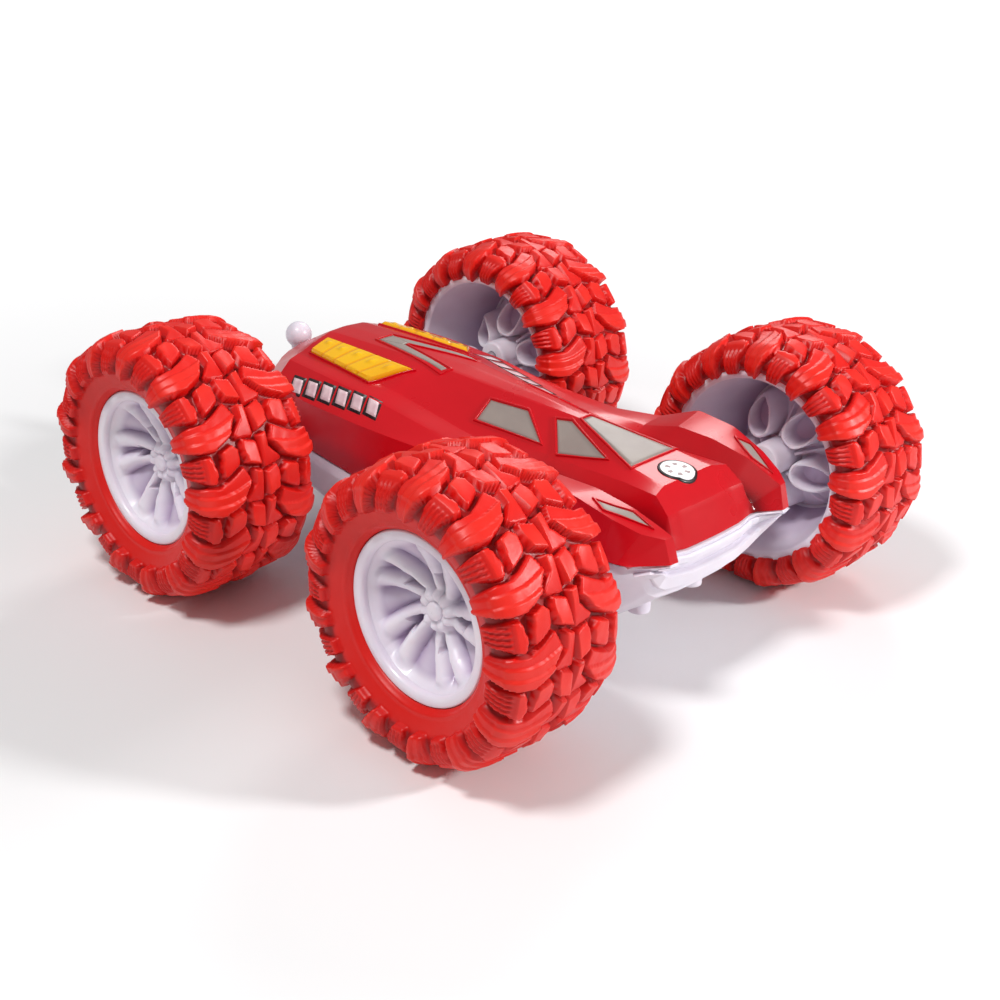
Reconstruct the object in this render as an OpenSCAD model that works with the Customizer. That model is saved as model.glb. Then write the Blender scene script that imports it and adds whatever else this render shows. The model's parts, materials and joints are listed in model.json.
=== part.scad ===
// Two-sided stunt car: four big hollow wheels, a low faceted shell and a tub.
// +X is the nose, +Y the left side, +Z up. The origin is on the ground, midway
// between the axles. Body heights are measured from the axle line.

/* [Wheels] */
// Radius of the rim's outer lip, which sets the scale of the body
rim_r = 18; // [18:0.5:18.5]
// Radius over the tyre lugs
tyre_r = 31; // [30.5:0.5:31.5]
// Half width of a tyre
tyre_half_w = 15; // [14.5:0.5:15.5]
// Distance from the centre plane to each tyre's middle
wheel_y = 55; // [54:0.5:57]
// Number of lug rows round a tyre
lugs = 13; // [12:1:16]

/* [Body] */
// Wall of the upper shell
shell_t = 1.2; // [1:0.1:1.4]
// Wall of the lower tub
tub_t = 1.4; // [1.2:0.1:1.6]
// Thickness of the inlaid panels
panel_t = 0.4; // [0.3:0.1:0.6]

/* [Drive] */
// Gear module
gear_module = 0.6; // [0.6:0.05:0.65]
// Teeth on each axle gear
axle_teeth = 30; // [30:1:30]
// Teeth on each idler gear
idler_teeth = 24; // [24:1:24]
// Teeth on each motor pinion
pinion_teeth = 12; // [12:1:12]
// Flank gap that gives backlash
backlash = 0.05; // [0.04:0.01:0.08]
// Shaft running clearance, radial
shaft_gap = 0.05; // [0.03:0.01:0.08]

/* [Hidden] */
function pitch_r(teeth) = gear_module*teeth/2;

axle_z = tyre_r;
idler_pitch = 2*pitch_r(idler_teeth);
idler_x = [for (i = [2:-1:-2]) i*idler_pitch]; // nose to tail
axle_x = 2*idler_pitch + pitch_r(idler_teeth) + pitch_r(axle_teeth);
motor_z = -pitch_r(idler_teeth) - pitch_r(pinion_teeth);
pressure_angle = 25;
gear_y = 18.5;
gear_w = 2.4;
plate_y = 15.6;
plate_t = 2;
axle_r = 1.5;
idler_pin_r = 1;
motor_shaft_r = 0.75;
bush_r = 3;
bush_l = 4;
boss_r = 5; // axle bosses on the tub
boss_y = 24.6;
boss_end = 39;
boss_gap = 0.2;
post_x = 54;
post_y = 9;
screw_seat_z = -9;
tub_bottom = -1.07*rim_r;
mount_z = -18.6; // foot of the rails and standoffs in the tub
door_x = 12;
door_l = 31;
door_w = 26.8;
door_t = 1.3;
door_gap = 0.2;
board_z = -9.05;
board_t = 1.2;
board_top = board_z + board_t;
cell_x = [18, 28.5, 39];
cell_z = -11.9;
switch_x = -46.5;
switch_z = -13.2;

NODES = ["body_shell", "chassis_tub", "battery_door", "window_panels", "headlight_panels",
  "rear_vent_panel", "deck_light_left", "deck_light_right", "hood_badge", "rear_post",
  "body_screws", "circuit_board", "radio_can", "battery_cells", "battery_contacts",
  "power_switch_body", "power_switch_slider", "left_motor", "right_motor",
  "left_gear_plate", "right_gear_plate", "left_idler_pins", "right_idler_pins", "axle_bushes",
  "left_pinion", "left_idler_1", "left_idler_2", "left_idler_3", "left_idler_4", "left_idler_5",
  "right_pinion", "right_idler_1", "right_idler_2", "right_idler_3", "right_idler_4",
  "right_idler_5",
  "lf_axle", "lf_gear", "lf_rim", "lf_tyre", "lf_hub_screw",
  "lr_axle", "lr_gear", "lr_rim", "lr_tyre", "lr_hub_screw",
  "rf_axle", "rf_gear", "rf_rim", "rf_tyre", "rf_hub_screw",
  "rr_axle", "rr_gear", "rr_rim", "rr_tyre", "rr_hub_screw"];
node = "all";

// Body stations, tail to nose, as [x, y, z] in rim radii.
// Upper shell: seven points from the centre line out to the side rim
SHELL = [
[[-3.7,0,.02],[-3.68,.22,.02],[-3.62,.5,.02],[-3.57,.66,.02],[-3.49,.82,.02],[-3.38,1.02,.01],[-3.32,1.1,0]],
[[-3.62,0,.56],[-3.6,.22,.56],[-3.55,.5,.52],[-3.5,.66,.48],[-3.42,.82,.43],[-3.3,1.02,.36],[-3.22,1.16,.01]],
[[-2.9,0,.97],[-2.88,.3,.96],[-2.88,.62,.86],[-2.86,.84,.79],[-2.8,1.08,.71],[-2.72,1.42,.52],[-2.72,1.48,.03]],
[[-2,0,1.03],[-2,.3,1.02],[-2,.62,.91],[-2,.86,.83],[-2,1.15,.72],[-2,1.5,.5],[-2,1.52,-.12]],
[[-1,0,1.07],[-1,.28,1.06],[-1,.6,.95],[-1,.88,.83],[-1,1.18,.71],[-1,1.5,.51],[-1,1.52,-.21]],
[[-.45,0,1.09],[-.45,.25,1.06],[-.4,.62,.87],[-.4,.86,.77],[-.4,1.15,.67],[-.4,1.47,.52],[-.4,1.52,-.22]],
[[.3,0,1.08],[.28,.2,1.045],[.32,.7,.745],[.3,.86,.67],[.3,1.12,.62],[.3,1.42,.54],[.3,1.5,-.22]],
[[.9,0,1.07],[.9,.15,1.035],[.9,.68,.73],[.9,.86,.64],[.9,1.12,.61],[.9,1.42,.55],[.9,1.5,-.18]],
[[1.545,0,1.025],[1.545,.09,1.023],[1.6,.66,.7],[1.6,.84,.55],[1.6,1.12,.62],[1.6,1.45,.66],[1.6,1.55,0]],
[[2.1,0,.94],[2.1,.245,.935],[2.15,.62,.715],[2.15,.82,.53],[2.15,1.1,.8],[2.15,1.5,.9],[2.15,1.6,.18]],
[[2.65,0,.85],[2.65,.4,.845],[2.68,.62,.75],[2.7,.8,.52],[2.7,1.08,.82],[2.7,1.5,.86],[2.7,1.62,.26]],
[[3.15,0,.8],[3.15,.44,.8],[3.22,.66,.77],[3.2,.8,.5],[3.25,1.06,.75],[3.22,1.42,.72],[3.22,1.58,.28]],
[[3.43,0,.58],[3.42,.48,.59],[3.45,.7,.6],[3.46,.8,.41],[3.62,1.03,.64],[3.55,1.3,.62],[3.42,1.54,.28]],
[[3.54,0,.36],[3.53,.5,.37],[3.54,.72,.4],[3.56,.8,.33],[3.78,1.02,.58],[3.76,1.14,.58],[3.49,1.51,.28]],
[[3.62,0,.19],[3.61,.5,.2],[3.59,.73,.23],[3.63,.8,.25],[3.87,1,.3],[3.86,1.13,.3],[3.55,1.48,.28]]];
// Lower tub: seven points from the keel out to the side rim
TUB = [
[[-3.7,0,-.01],[-3.67,.35,-.01],[-3.6,.6,-.01],[-3.52,.8,-.01],[-3.45,.92,-.01],[-3.38,1.02,-.02],[-3.32,1.1,-.03]],
[[-3.64,0,-.35],[-3.62,.35,-.35],[-3.55,.6,-.35],[-3.47,.8,-.34],[-3.41,.95,-.3],[-3.31,1.08,-.2],[-3.24,1.15,-.02]],
[[-3.3,0,-.66],[-3.3,.35,-.66],[-3.25,.65,-.66],[-3.2,.9,-.6],[-3.12,1.1,-.44],[-3.04,1.24,-.22],[-3,1.3,-.01]],
[[-2.75,0,-1],[-2.75,.35,-1],[-2.75,.7,-1],[-2.73,1,-.96],[-2.72,1.27,-.62],[-2.72,1.43,-.26],[-2.72,1.48,0]],
[[-2.2,0,-1.07],[-2.2,.35,-1.07],[-2.2,.7,-1.07],[-2.1,1.1,-1.04],[-2,1.38,-.75],[-2,1.5,-.32],[-2,1.52,-.15]],
[[-1,0,-1.07],[-1,.35,-1.07],[-1,.7,-1.07],[-1,1.12,-1.05],[-1,1.4,-.78],[-1,1.5,-.42],[-1,1.52,-.24]],
[[-.4,0,-1.07],[-.4,.35,-1.07],[-.4,.7,-1.07],[-.4,1.12,-1.05],[-.4,1.4,-.78],[-.4,1.5,-.42],[-.4,1.52,-.25]],
[[.3,0,-1.07],[.3,.35,-1.07],[.3,.7,-1.07],[.3,1.12,-1.05],[.3,1.38,-.78],[.3,1.48,-.42],[.3,1.5,-.25]],
[[.9,0,-1.07],[.9,.35,-1.07],[.9,.7,-1.07],[.9,1.12,-1.05],[.9,1.38,-.78],[.9,1.48,-.4],[.9,1.5,-.21]],
[[1.6,0,-1.07],[1.6,.35,-1.07],[1.6,.7,-1.07],[1.6,1.12,-1.05],[1.6,1.4,-.75],[1.6,1.53,-.22],[1.6,1.55,-.03]],
[[2.35,0,-1.07],[2.35,.35,-1.07],[2.35,.7,-1.07],[2.25,1.1,-1.03],[2.15,1.42,-.65],[2.15,1.57,-.03],[2.15,1.6,.15]],
[[2.75,0,-1],[2.75,.35,-1],[2.75,.7,-1],[2.7,1.06,-.92],[2.7,1.42,-.48],[2.7,1.6,.06],[2.7,1.62,.23]],
[[3.2,0,-.66],[3.2,.4,-.66],[3.2,.75,-.64],[3.18,1.02,-.55],[3.18,1.35,-.2],[3.22,1.56,.1],[3.22,1.58,.25]],
[[3.58,0,-.42],[3.57,.4,-.42],[3.5,.82,-.4],[3.46,1,-.3],[3.5,1.22,0],[3.45,1.46,.12],[3.42,1.54,.25]],
[[3.66,0,-.08],[3.65,.42,-.08],[3.62,.76,-.05],[3.68,.88,.02],[3.86,1.03,.13],[3.8,1.18,.14],[3.49,1.51,.25]],
[[3.62,0,.16],[3.61,.5,.17],[3.59,.73,.2],[3.63,.8,.22],[3.87,1,.27],[3.86,1.13,.27],[3.55,1.48,.25]]];
// Panel outlines seen from above, [x, y] in rim radii
WINDSCREEN = [[1.6,.075],[2.62,.36],[2.62,-.36],[1.6,-.075]];
FRONT_SIDE_WINDOW = [[1.28,.22],[1.5,.16],[2.3,.44],[1.66,.6]];
REAR_SIDE_WINDOW = [[.3,.36],[.88,.28],[1.36,.58],[.34,.66]];
HEADLIGHT = [[2.9,1.34],[3.3,1.12],[3.56,1.12],[3.06,1.38]];
REAR_VENT = [[-2.08,-.13],[-.62,-.34],[-.55,-.24],[-1.62,-.01],
  [-1.62,.01],[-.55,.24],[-.62,.34],[-2.08,.13]];
DECK_LIGHT = [[-2.7,.47],[-1,.5],[-1.37,.92],[-2.7,.79]];

// Placing helpers
module on_right() mirror([0,1,0]) children();
module both() {
  children();
  on_right() children();
}
module rod(x, y0, y1, r, fn = 40) {
  translate([x, y0, 0]) rotate([-90,0,0]) cylinder(r = r, h = y1-y0, $fn = fn);
}
module at_posts(z, xs = [-post_x, post_x]) {
  for (x = xs, y = [-post_y, post_y]) translate([x, y, z]) children();
}

// Skins: grids of 13 points per station, running from the right rim to the left
function unit(v) = v / max(norm(v), 0.000001);
function full_width(stations) = [for (s = stations) concat(
  [for (j = [6:-1:1]) [s[j][0], -s[j][1], s[j][2]]*rim_r],
  [for (j = [0:6]) s[j]*rim_r])];
function grid_normal(grid, i, j) = let (
  along = grid[min(i+1, len(grid)-1)][j] - grid[max(i-1, 0)][j],
  across = grid[i][min(j+1, 12)] - grid[i][max(j-1, 0)]) unit(cross(along, across));

// A skin of wall t; side is 1 when the outer face looks up, -1 when it looks down
module skin(stations, t, side) {
  grid = full_width(stations);
  last = len(grid) - 1;
  // at a rim the wall is measured level, so the rim stays at its own height
  function wall_dir(i, j) = let (n = grid_normal(grid, i, j))
    (j == 0 || j == 12 || i == 0 || i == last) ? unit([n[0], n[1], 0]) : n;
  inner_grid = [for (i = [0:last]) [for (j = [0:12]) grid[i][j] - side*t*wall_dir(i, j)]];
  function outer(i, j) = i*13 + j;
  function inner(i, j) = (last+1)*13 + outer(i, j);
  // the diagonal swaps at the centre plane, so both halves of a face split alike
  function quad(a, b, c, d, diagonal_ac = true) = diagonal_ac
    ? (side > 0 ? [[a,c,b],[a,d,c]] : [[a,b,c],[a,c,d]])
    : (side > 0 ? [[a,d,b],[b,d,c]] : [[a,b,d],[b,c,d]]);
  faces = concat(
    [for (i = [0:last-1]) for (j = [0:11])
      each quad(outer(i,j), outer(i+1,j), outer(i+1,j+1), outer(i,j+1), j < 6)],
    [for (i = [0:last-1]) for (j = [0:11])
      each quad(inner(i,j), inner(i,j+1), inner(i+1,j+1), inner(i+1,j), j < 6)],
    [for (i = [0:last-1]) each quad(outer(i,0), inner(i,0), inner(i+1,0), outer(i+1,0))],
    [for (i = [0:last-1]) each quad(outer(i,12), outer(i+1,12), inner(i+1,12), inner(i,12))],
    [for (j = [0:11]) each quad(outer(0,j), outer(0,j+1), inner(0,j+1), inner(0,j))],
    [for (j = [0:11])
      each quad(outer(last,j), inner(last,j), inner(last,j+1), outer(last,j+1))]);
  points = concat([for (row = grid) each row], [for (row = inner_grid) each row]);
  polyhedron(points = points, faces = faces, convexity = 10);
}
// Thin layer lying just above the shell's outer face
module panel_layer(t = panel_t) translate([0, 0, 1.2*t+0.05]) skin(SHELL, t, 1);
module inlay(outline, t = panel_t) {
  intersection() {
    translate([0,0,-6]) linear_extrude(30) polygon(outline*rim_r);
    panel_layer(t);
  }
}

// Body
module body_shell() {
  slot_r = boss_r + boss_gap;
  color("crimson") translate([0,0,axle_z]) difference() {
    union() {
      skin(SHELL, shell_t, 1);
      at_posts(-1, [post_x]) cylinder(r = 2.4, h = 14.6, $fn = 32);
      at_posts(-1, [-post_x]) cylinder(r = 2.4, h = 16.7, $fn = 32);
    }
    at_posts(-2) cylinder(r = 1.05, h = 9, $fn = 24);
    // round-topped slots over the axle bosses
    for (x = [-axle_x, axle_x], y = [-45, 20]) {
      rod(x, y, y+25, slot_r);
      translate([x-slot_r, y, -12]) cube([2*slot_r, 25, 12]);
    }
  }
}
module boss(x) {
  rod(x, boss_y, boss_end, boss_r);
  translate([x-boss_r, boss_y, -9]) cube([2*boss_r, 4.4, 9]);
}
module chassis_tub() {
  color("lavenderblush") translate([0,0,axle_z]) difference() {
    union() {
      skin(TUB, tub_t, -1);
      both() {
        boss(axle_x);
        boss(-axle_x);
      }
      at_posts(-14.2) cylinder(r = 2.6, h = 13, $fn = 32);
      // rails that carry the gear plates and the motor bed
      both() for (x = [-24, 24]) translate([x-3, 14.4, mount_z]) cube([6, 1, 6]);
      for (x = [-9, 7.4]) translate([x, -13, mount_z]) cube([1.6, 26, 4]);
      // circuit board standoffs
      for (x = [-36, -14], y = [-9, 9])
        translate([x, y, mount_z]) cylinder(r = 1.6, h = 9.5, $fn = 24);
      // block at the tail
      translate([-68.2, -2.5, -5]) cube([5.2, 5, 4.4]);
    }
    both() for (x = [-axle_x, axle_x]) rod(x, 24, 40, bush_r + shaft_gap);
    // screw holes and head recesses
    at_posts(-30) cylinder(r = 1.1, h = 40, $fn = 24);
    at_posts(-30) cylinder(r = 2.05, h = 30+screw_seat_z, $fn = 24);
    // battery door opening
    translate([door_x-door_gap, -door_w/2-door_gap, -20])
      cube([door_l+2*door_gap, door_w+2*door_gap, 3]);
    // power switch slot
    translate([switch_x-4.1, -2.1, -22]) cube([8.2, 4.2, 8]);
    // trims posts to the underside
    translate([-80,-40,-60]) cube([160, 80, 60+tub_bottom-0.001]);
  }
}
module battery_door() {
  color("lavenderblush") translate([0,0,axle_z]) union() {
    translate([door_x, -door_w/2, tub_bottom]) cube([door_l, door_w, door_t]);
    // four ribs on the upper face
    for (i = [0:3]) translate([36.4+i*1.1, -5, tub_bottom+door_t-0.1]) cube([0.6, 10, 0.5]);
  }
}
module window_panels() {
  color("rosybrown") translate([0,0,axle_z]) {
    inlay(WINDSCREEN);
    both() {
      inlay(FRONT_SIDE_WINDOW);
      inlay(REAR_SIDE_WINDOW);
    }
  }
}
module headlight_panels() color("rosybrown") translate([0,0,axle_z]) both() inlay(HEADLIGHT);
module rear_vent_panel() color("rosybrown") translate([0,0,axle_z]) inlay(REAR_VENT);
module deck_light() translate([0,0,axle_z]) inlay(DECK_LIGHT, 1.0);
module deck_light_left() color("gold") deck_light();
module deck_light_right() color("gold") on_right() deck_light();
module hood_badge() {
  color("white") translate([0,0,axle_z]) intersection() {
    translate([3*rim_r,0,0]) cylinder(r = 0.24*rim_r, h = 30, $fn = 40);
    panel_layer();
  }
}
module rear_post() {
  color("white") translate([-3.94*rim_r,0,axle_z]) union() {
    translate([0,0,0.54*rim_r]) sphere(r = 3.4, $fn = 40);
    translate([0,0,-7]) cylinder(r = 1.9, h = 15, $fn = 32);
    translate([0,0,-7.6]) cylinder(r = 2.7, h = 8, $fn = 32);
  }
}
module body_screws() {
  color("silver") translate([0,0,axle_z]) at_posts(screw_seat_z) difference() {
    union() {
      translate([0,0,-1.5]) cylinder(r = 1.9, h = 1.48, $fn = 32);
      translate([0,0,-0.2]) cylinder(r = 1, h = 14, $fn = 24);
    }
    for (a = [0,90]) rotate(a) translate([-1.1,-0.25,-1.6]) cube([2.2,0.5,0.8]);
  }
}

// Electrics
module circuit_board() {
  color("green") translate([0,0,axle_z]) union() {
    translate([-39,-12,board_z]) cube([28,24,board_t]);
    translate([-33,-6,board_top]) cube([7,5,1.4]);
    translate([-22,2,board_top]) cube([5,5,1.2]);
    translate([-36,5,board_top]) cylinder(r = 2.2, h = 5, $fn = 32);
    translate([-16,-7,board_top]) cylinder(r = 1.8, h = 4, $fn = 32);
  }
}
module radio_can() {
  color("silver") translate([-30, 4, axle_z+board_top+0.05]) union() {
    cube([6,5.5,2]);
    translate([1.5,1.2,2]) cube([3,3,0.6]);
  }
}
module battery_cells() {
  color("steelblue") translate([0,0,axle_z+cell_z]) for (x = cell_x) {
    rod(x, -11.6, 11, 5, 48);
    rod(x, 11, 12, 1.6, 24);
  }
}
module battery_contacts() {
  color("silver") translate([0,0,axle_z+cell_z]) for (x = cell_x) {
    for (y = [12.2, -12.6]) translate([x-3.5, y, -3.5]) cube([7, 0.4, 7]);
    rod(x, -12.2, -11.7, 2, 24);
  }
}
module power_switch_body() {
  color("dimgray") translate([switch_x,0,axle_z+switch_z]) difference() {
    translate([-5,-4,0]) cube([10,8,4.4]);
    translate([-3.6,-1.7,-1]) cube([7.4,3.4,4.2]);
  }
}
module power_switch_slider() {
  color("black") translate([switch_x,0,axle_z+switch_z]) union() {
    translate([-3.4,-1.5,0.2]) cube([4,3,2.6]);
    translate([-2.6,-1.3,-4.3]) cube([2.4,2.6,4.6]);
  }
}
module motor() {
  translate([0,0,axle_z+motor_z]) union() {
    rod(0, 1, 14.9, 6, 48);
    rod(0, 14.9, 15.3, 2.5, 32);
    rod(0, 15.3, 22.4, motor_shaft_r, 24);
    // terminals
    for (x = [-3, 3]) translate([x-0.6, 0.4, 1]) cube([1.2, 0.61, 2]);
  }
}
module left_motor() color("silver") motor();
module right_motor() color("silver") on_right() motor();

// Gear train supports
PLATE = [[-50,4],[-41,6.5],[41,6.5],[50,4],[50,-8],
  [40,-15],[30,-17.4],[-30,-17.4],[-40,-15],[-50,-8]]; // [x, z]
module gear_plate() {
  translate([0,0,axle_z]) difference() {
    translate([0,plate_y+plate_t,0]) rotate([90,0,0]) linear_extrude(plate_t) polygon(PLATE);
    for (x = idler_x) rod(x, 15, 18, idler_pin_r + shaft_gap, 24);
    for (x = [-axle_x, axle_x]) rod(x, 15, 18, axle_r + shaft_gap, 32);
    translate([0,0,motor_z]) rod(0, 15, 18, 2.9, 32);
  }
}
module left_gear_plate() color("gainsboro") gear_plate();
module right_gear_plate() color("gainsboro") on_right() gear_plate();
module idler_pins() {
  translate([0,0,axle_z]) for (x = idler_x) union() {
    rod(x, 15.2, 22.8, idler_pin_r, 24);
    rod(x, 15.1, 15.58, 1.7, 24);
  }
}
module left_idler_pins() color("silver") idler_pins();
module right_idler_pins() color("silver") on_right() idler_pins();
module bush(x, y) {
  translate([0,0,axle_z]) difference() {
    rod(x, y, y+bush_l, bush_r, 40);
    rod(x, y-1, y+bush_l+1, axle_r + shaft_gap, 32);
  }
}
module axle_bushes() {
  color("goldenrod") both() for (x = [-axle_x, axle_x], y = [24.7, 35]) bush(x, y);
}

// Involute spur gears with their axes on +Y. Phase turns tooth 0 from +X towards +Z.
function involute(a) = tan(a)*180/PI - a;
function base_r(teeth) = pitch_r(teeth)*cos(pressure_angle);
// Half the angle a tooth spans at radius r
function half_tooth(teeth, r) = 90/teeth + involute(pressure_angle)
  - involute(acos(min(1, base_r(teeth)/r))) - backlash/pitch_r(teeth)*180/PI/2;
function gear_points(teeth, phase) = let (
  root_r = pitch_r(teeth) - 1.22*gear_module,
  tip_r = pitch_r(teeth) + 0.92*gear_module,
  flank_r = max(root_r+0.05, base_r(teeth)+0.01),
  // one flank from root to tip, [radius, half angle]
  flank = concat([[root_r, half_tooth(teeth, flank_r) + 20/teeth]],
    [for (r = [flank_r, pitch_r(teeth), tip_r]) [r, half_tooth(teeth, r)]]),
  tooth = concat([for (p = flank) [p[0], -p[1]]], [for (i = [3:-1:0]) flank[i]]))
  [for (k = [0:teeth-1]) for (p = tooth) let (a = phase + k*360/teeth + p[1])
    p[0]*[cos(a), -sin(a)]];
module spur(teeth, phase, bore, x, z = 0, hub = 0) {
  translate([x, gear_y, axle_z+z]) rotate([-90,0,0]) difference() {
    union() {
      linear_extrude(gear_w) polygon(gear_points(teeth, phase));
      if (hub > 0) translate([0,0,gear_w-0.01]) cylinder(r = hub, h = 1, $fn = 32);
    }
    translate([0,0,-1]) cylinder(r = bore, h = gear_w+4, $fn = 32);
  }
}
// Phase of a gear of teeth2 that lies at angle dir from its neighbour of teeth1 and phase1
function mesh(dir, phase1, teeth1, teeth2) =
  dir + 180 + ((dir-phase1)*teeth1/360 + 0.5)*360/teeth2;
front_phase = 0;
idler_phase = [for (i = 0, p = mesh(180, front_phase, axle_teeth, idler_teeth); i < 5;
  i = i+1, p = mesh(180, p, idler_teeth, idler_teeth)) p];
rear_phase = mesh(180, idler_phase[4], idler_teeth, axle_teeth);
pinion_phase = mesh(-90, idler_phase[2], idler_teeth, pinion_teeth);

module pinion() spur(pinion_teeth, pinion_phase, motor_shaft_r + shaft_gap, 0, motor_z);
module idler(i) {
  spur(idler_teeth, idler_phase[i], idler_pin_r + shaft_gap, idler_x[i], hub = 2);
}
module axle_gear(x, phase) spur(axle_teeth, phase, axle_r + shaft_gap, x, hub = 2.6);
module left_pinion() color("white") pinion();
module left_idler_1() color("white") idler(0);
module left_idler_2() color("white") idler(1);
module left_idler_3() color("white") idler(2);
module left_idler_4() color("white") idler(3);
module left_idler_5() color("white") idler(4);
module right_pinion() color("white") on_right() pinion();
module right_idler_1() color("white") on_right() idler(0);
module right_idler_2() color("white") on_right() idler(1);
module right_idler_3() color("white") on_right() idler(2);
module right_idler_4() color("white") on_right() idler(3);
module right_idler_5() color("white") on_right() idler(4);

// Wheel parts; y is measured from the tyre's middle, outward positive.
// Profiles are [radius, y]
RIM = [[1.55,-9],[4.2,-9],[4.2,1.5],[8,3.2],[13.2,6.2],[16.2,8.6],[16.6,9.2],
  [20.7,-12.3],[22.9,-13],[22.9,-12.2],[21.6,-11.5],[18,10.9],[17.6,11.3],[15.6,11.3],
  [15,10.4],[12.6,8.2],[8,5.4],[4.4,4],[4.4,6.8],[1.55,6.8]];
TYRE = [[18.1,11],[18.6,12.1],[22,14.2],[25,tyre_half_w],[27.2,13.9],[28.8,10.8],
  [29.6,5.8],[29.6,-5.8],[28.8,-10.8],[27.2,-13.9],[25.4,-tyre_half_w],[23.7,-14.2],
  [22.96,-13.05],[22.96,-12.15],[21.7,-11.45]];
module wheel(x) translate([x, wheel_y, axle_z]) children();
module axle() {
  inner_y = 15.5 - wheel_y;
  rod(0, inner_y-0.1, 6.8, axle_r, 32);
  rod(0, inner_y-0.55, inner_y, 2.4, 32);
}
// Deep barrel, dished disc and hub, with five windows near the hub
module rim() {
  difference() {
    rotate([-90,0,0]) rotate_extrude($fn = 96) polygon(RIM);
    for (k = [0:4]) rotate([0, 90+72*k, 0]) translate([6.6, 0, 0]) rotate([-90,0,0])
      linear_extrude(8) polygon([[-1.5,0],[1.5,-1.7],[1.5,1.7]]);
  }
}
// Each lug row has one middle block, and a pair of edge blocks half a step on
module tyre() {
  union() {
    rotate([-90,0,0]) rotate_extrude($fn = 96) polygon(TYRE);
    for (k = [0:lugs-1]) rotate([0, k*360/lugs, 0]) {
      translate([-2.6, -4.4, tyre_r-4]) cube([5.2, 8.8, 4]);
      rotate([0, 180/lugs, 0]) both() translate([-2.4, 4.8, 26]) cube([4.8, 7.8, 4.5]);
    }
  }
}
module hub_screw() {
  rotate([-90,0,0]) difference() {
    translate([0,0,6.85]) union() {
      cylinder(r = 2.4, h = 0.9, $fn = 32);
      translate([0,0,0.8]) cylinder(r1 = 2.2, r2 = 1.4, h = 0.8, $fn = 32);
    }
    for (a = [0,90]) rotate(a) translate([-1.2,-0.3,7.7]) cube([2.4,0.6,2]);
  }
}
module lf_axle() color("silver") wheel(axle_x) axle();
module lf_gear() color("white") axle_gear(axle_x, front_phase);
module lf_rim() color("lavenderblush") wheel(axle_x) rim();
module lf_tyre() color("tomato") wheel(axle_x) tyre();
module lf_hub_screw() color("silver") wheel(axle_x) hub_screw();
module lr_axle() color("silver") wheel(-axle_x) axle();
module lr_gear() color("white") axle_gear(-axle_x, rear_phase);
module lr_rim() color("lavenderblush") wheel(-axle_x) rim();
module lr_tyre() color("tomato") wheel(-axle_x) tyre();
module lr_hub_screw() color("silver") wheel(-axle_x) hub_screw();
module rf_axle() color("silver") on_right() wheel(axle_x) axle();
module rf_gear() color("white") on_right() axle_gear(axle_x, front_phase);
module rf_rim() color("lavenderblush") on_right() wheel(axle_x) rim();
module rf_tyre() color("tomato") on_right() wheel(axle_x) tyre();
module rf_hub_screw() color("silver") on_right() wheel(axle_x) hub_screw();
module rr_axle() color("silver") on_right() wheel(-axle_x) axle();
module rr_gear() color("white") on_right() axle_gear(-axle_x, rear_phase);
module rr_rim() color("lavenderblush") on_right() wheel(-axle_x) rim();
module rr_tyre() color("tomato") on_right() wheel(-axle_x) tyre();
module rr_hub_screw() color("silver") on_right() wheel(-axle_x) hub_screw();

function on(name) = node == "all" || node == name;
if (on("body_shell")) body_shell();
if (on("chassis_tub")) chassis_tub();
if (on("battery_door")) battery_door();
if (on("window_panels")) window_panels();
if (on("headlight_panels")) headlight_panels();
if (on("rear_vent_panel")) rear_vent_panel();
if (on("deck_light_left")) deck_light_left();
if (on("deck_light_right")) deck_light_right();
if (on("hood_badge")) hood_badge();
if (on("rear_post")) rear_post();
if (on("body_screws")) body_screws();
if (on("circuit_board")) circuit_board();
if (on("radio_can")) radio_can();
if (on("battery_cells")) battery_cells();
if (on("battery_contacts")) battery_contacts();
if (on("power_switch_body")) power_switch_body();
if (on("power_switch_slider")) power_switch_slider();
if (on("left_motor")) left_motor();
if (on("right_motor")) right_motor();
if (on("left_gear_plate")) left_gear_plate();
if (on("right_gear_plate")) right_gear_plate();
if (on("left_idler_pins")) left_idler_pins();
if (on("right_idler_pins")) right_idler_pins();
if (on("axle_bushes")) axle_bushes();
if (on("left_pinion")) left_pinion();
if (on("left_idler_1")) left_idler_1();
if (on("left_idler_2")) left_idler_2();
if (on("left_idler_3")) left_idler_3();
if (on("left_idler_4")) left_idler_4();
if (on("left_idler_5")) left_idler_5();
if (on("right_pinion")) right_pinion();
if (on("right_idler_1")) right_idler_1();
if (on("right_idler_2")) right_idler_2();
if (on("right_idler_3")) right_idler_3();
if (on("right_idler_4")) right_idler_4();
if (on("right_idler_5")) right_idler_5();
if (on("lf_axle")) lf_axle();
if (on("lf_gear")) lf_gear();
if (on("lf_rim")) lf_rim();
if (on("lf_tyre")) lf_tyre();
if (on("lf_hub_screw")) lf_hub_screw();
if (on("lr_axle")) lr_axle();
if (on("lr_gear")) lr_gear();
if (on("lr_rim")) lr_rim();
if (on("lr_tyre")) lr_tyre();
if (on("lr_hub_screw")) lr_hub_screw();
if (on("rf_axle")) rf_axle();
if (on("rf_gear")) rf_gear();
if (on("rf_rim")) rf_rim();
if (on("rf_tyre")) rf_tyre();
if (on("rf_hub_screw")) rf_hub_screw();
if (on("rr_axle")) rr_axle();
if (on("rr_gear")) rr_gear();
if (on("rr_rim")) rr_rim();
if (on("rr_tyre")) rr_tyre();
if (on("rr_hub_screw")) rr_hub_screw();
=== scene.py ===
"""Toy car: red upper shell, white lower tub, four lugged tyres on spoked rims, a ball post.

The nose points along +X, the car's left is +Y and +Z is up. The tyres stand on z = 0 and the
axles lie AXLE_Z above it. Meshes are built in millimetres and stored in metres.
"""
import bpy, bmesh, json, math
import numpy as np
from mathutils import Vector, Matrix
from mathutils.bvhtree import BVHTree


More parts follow.
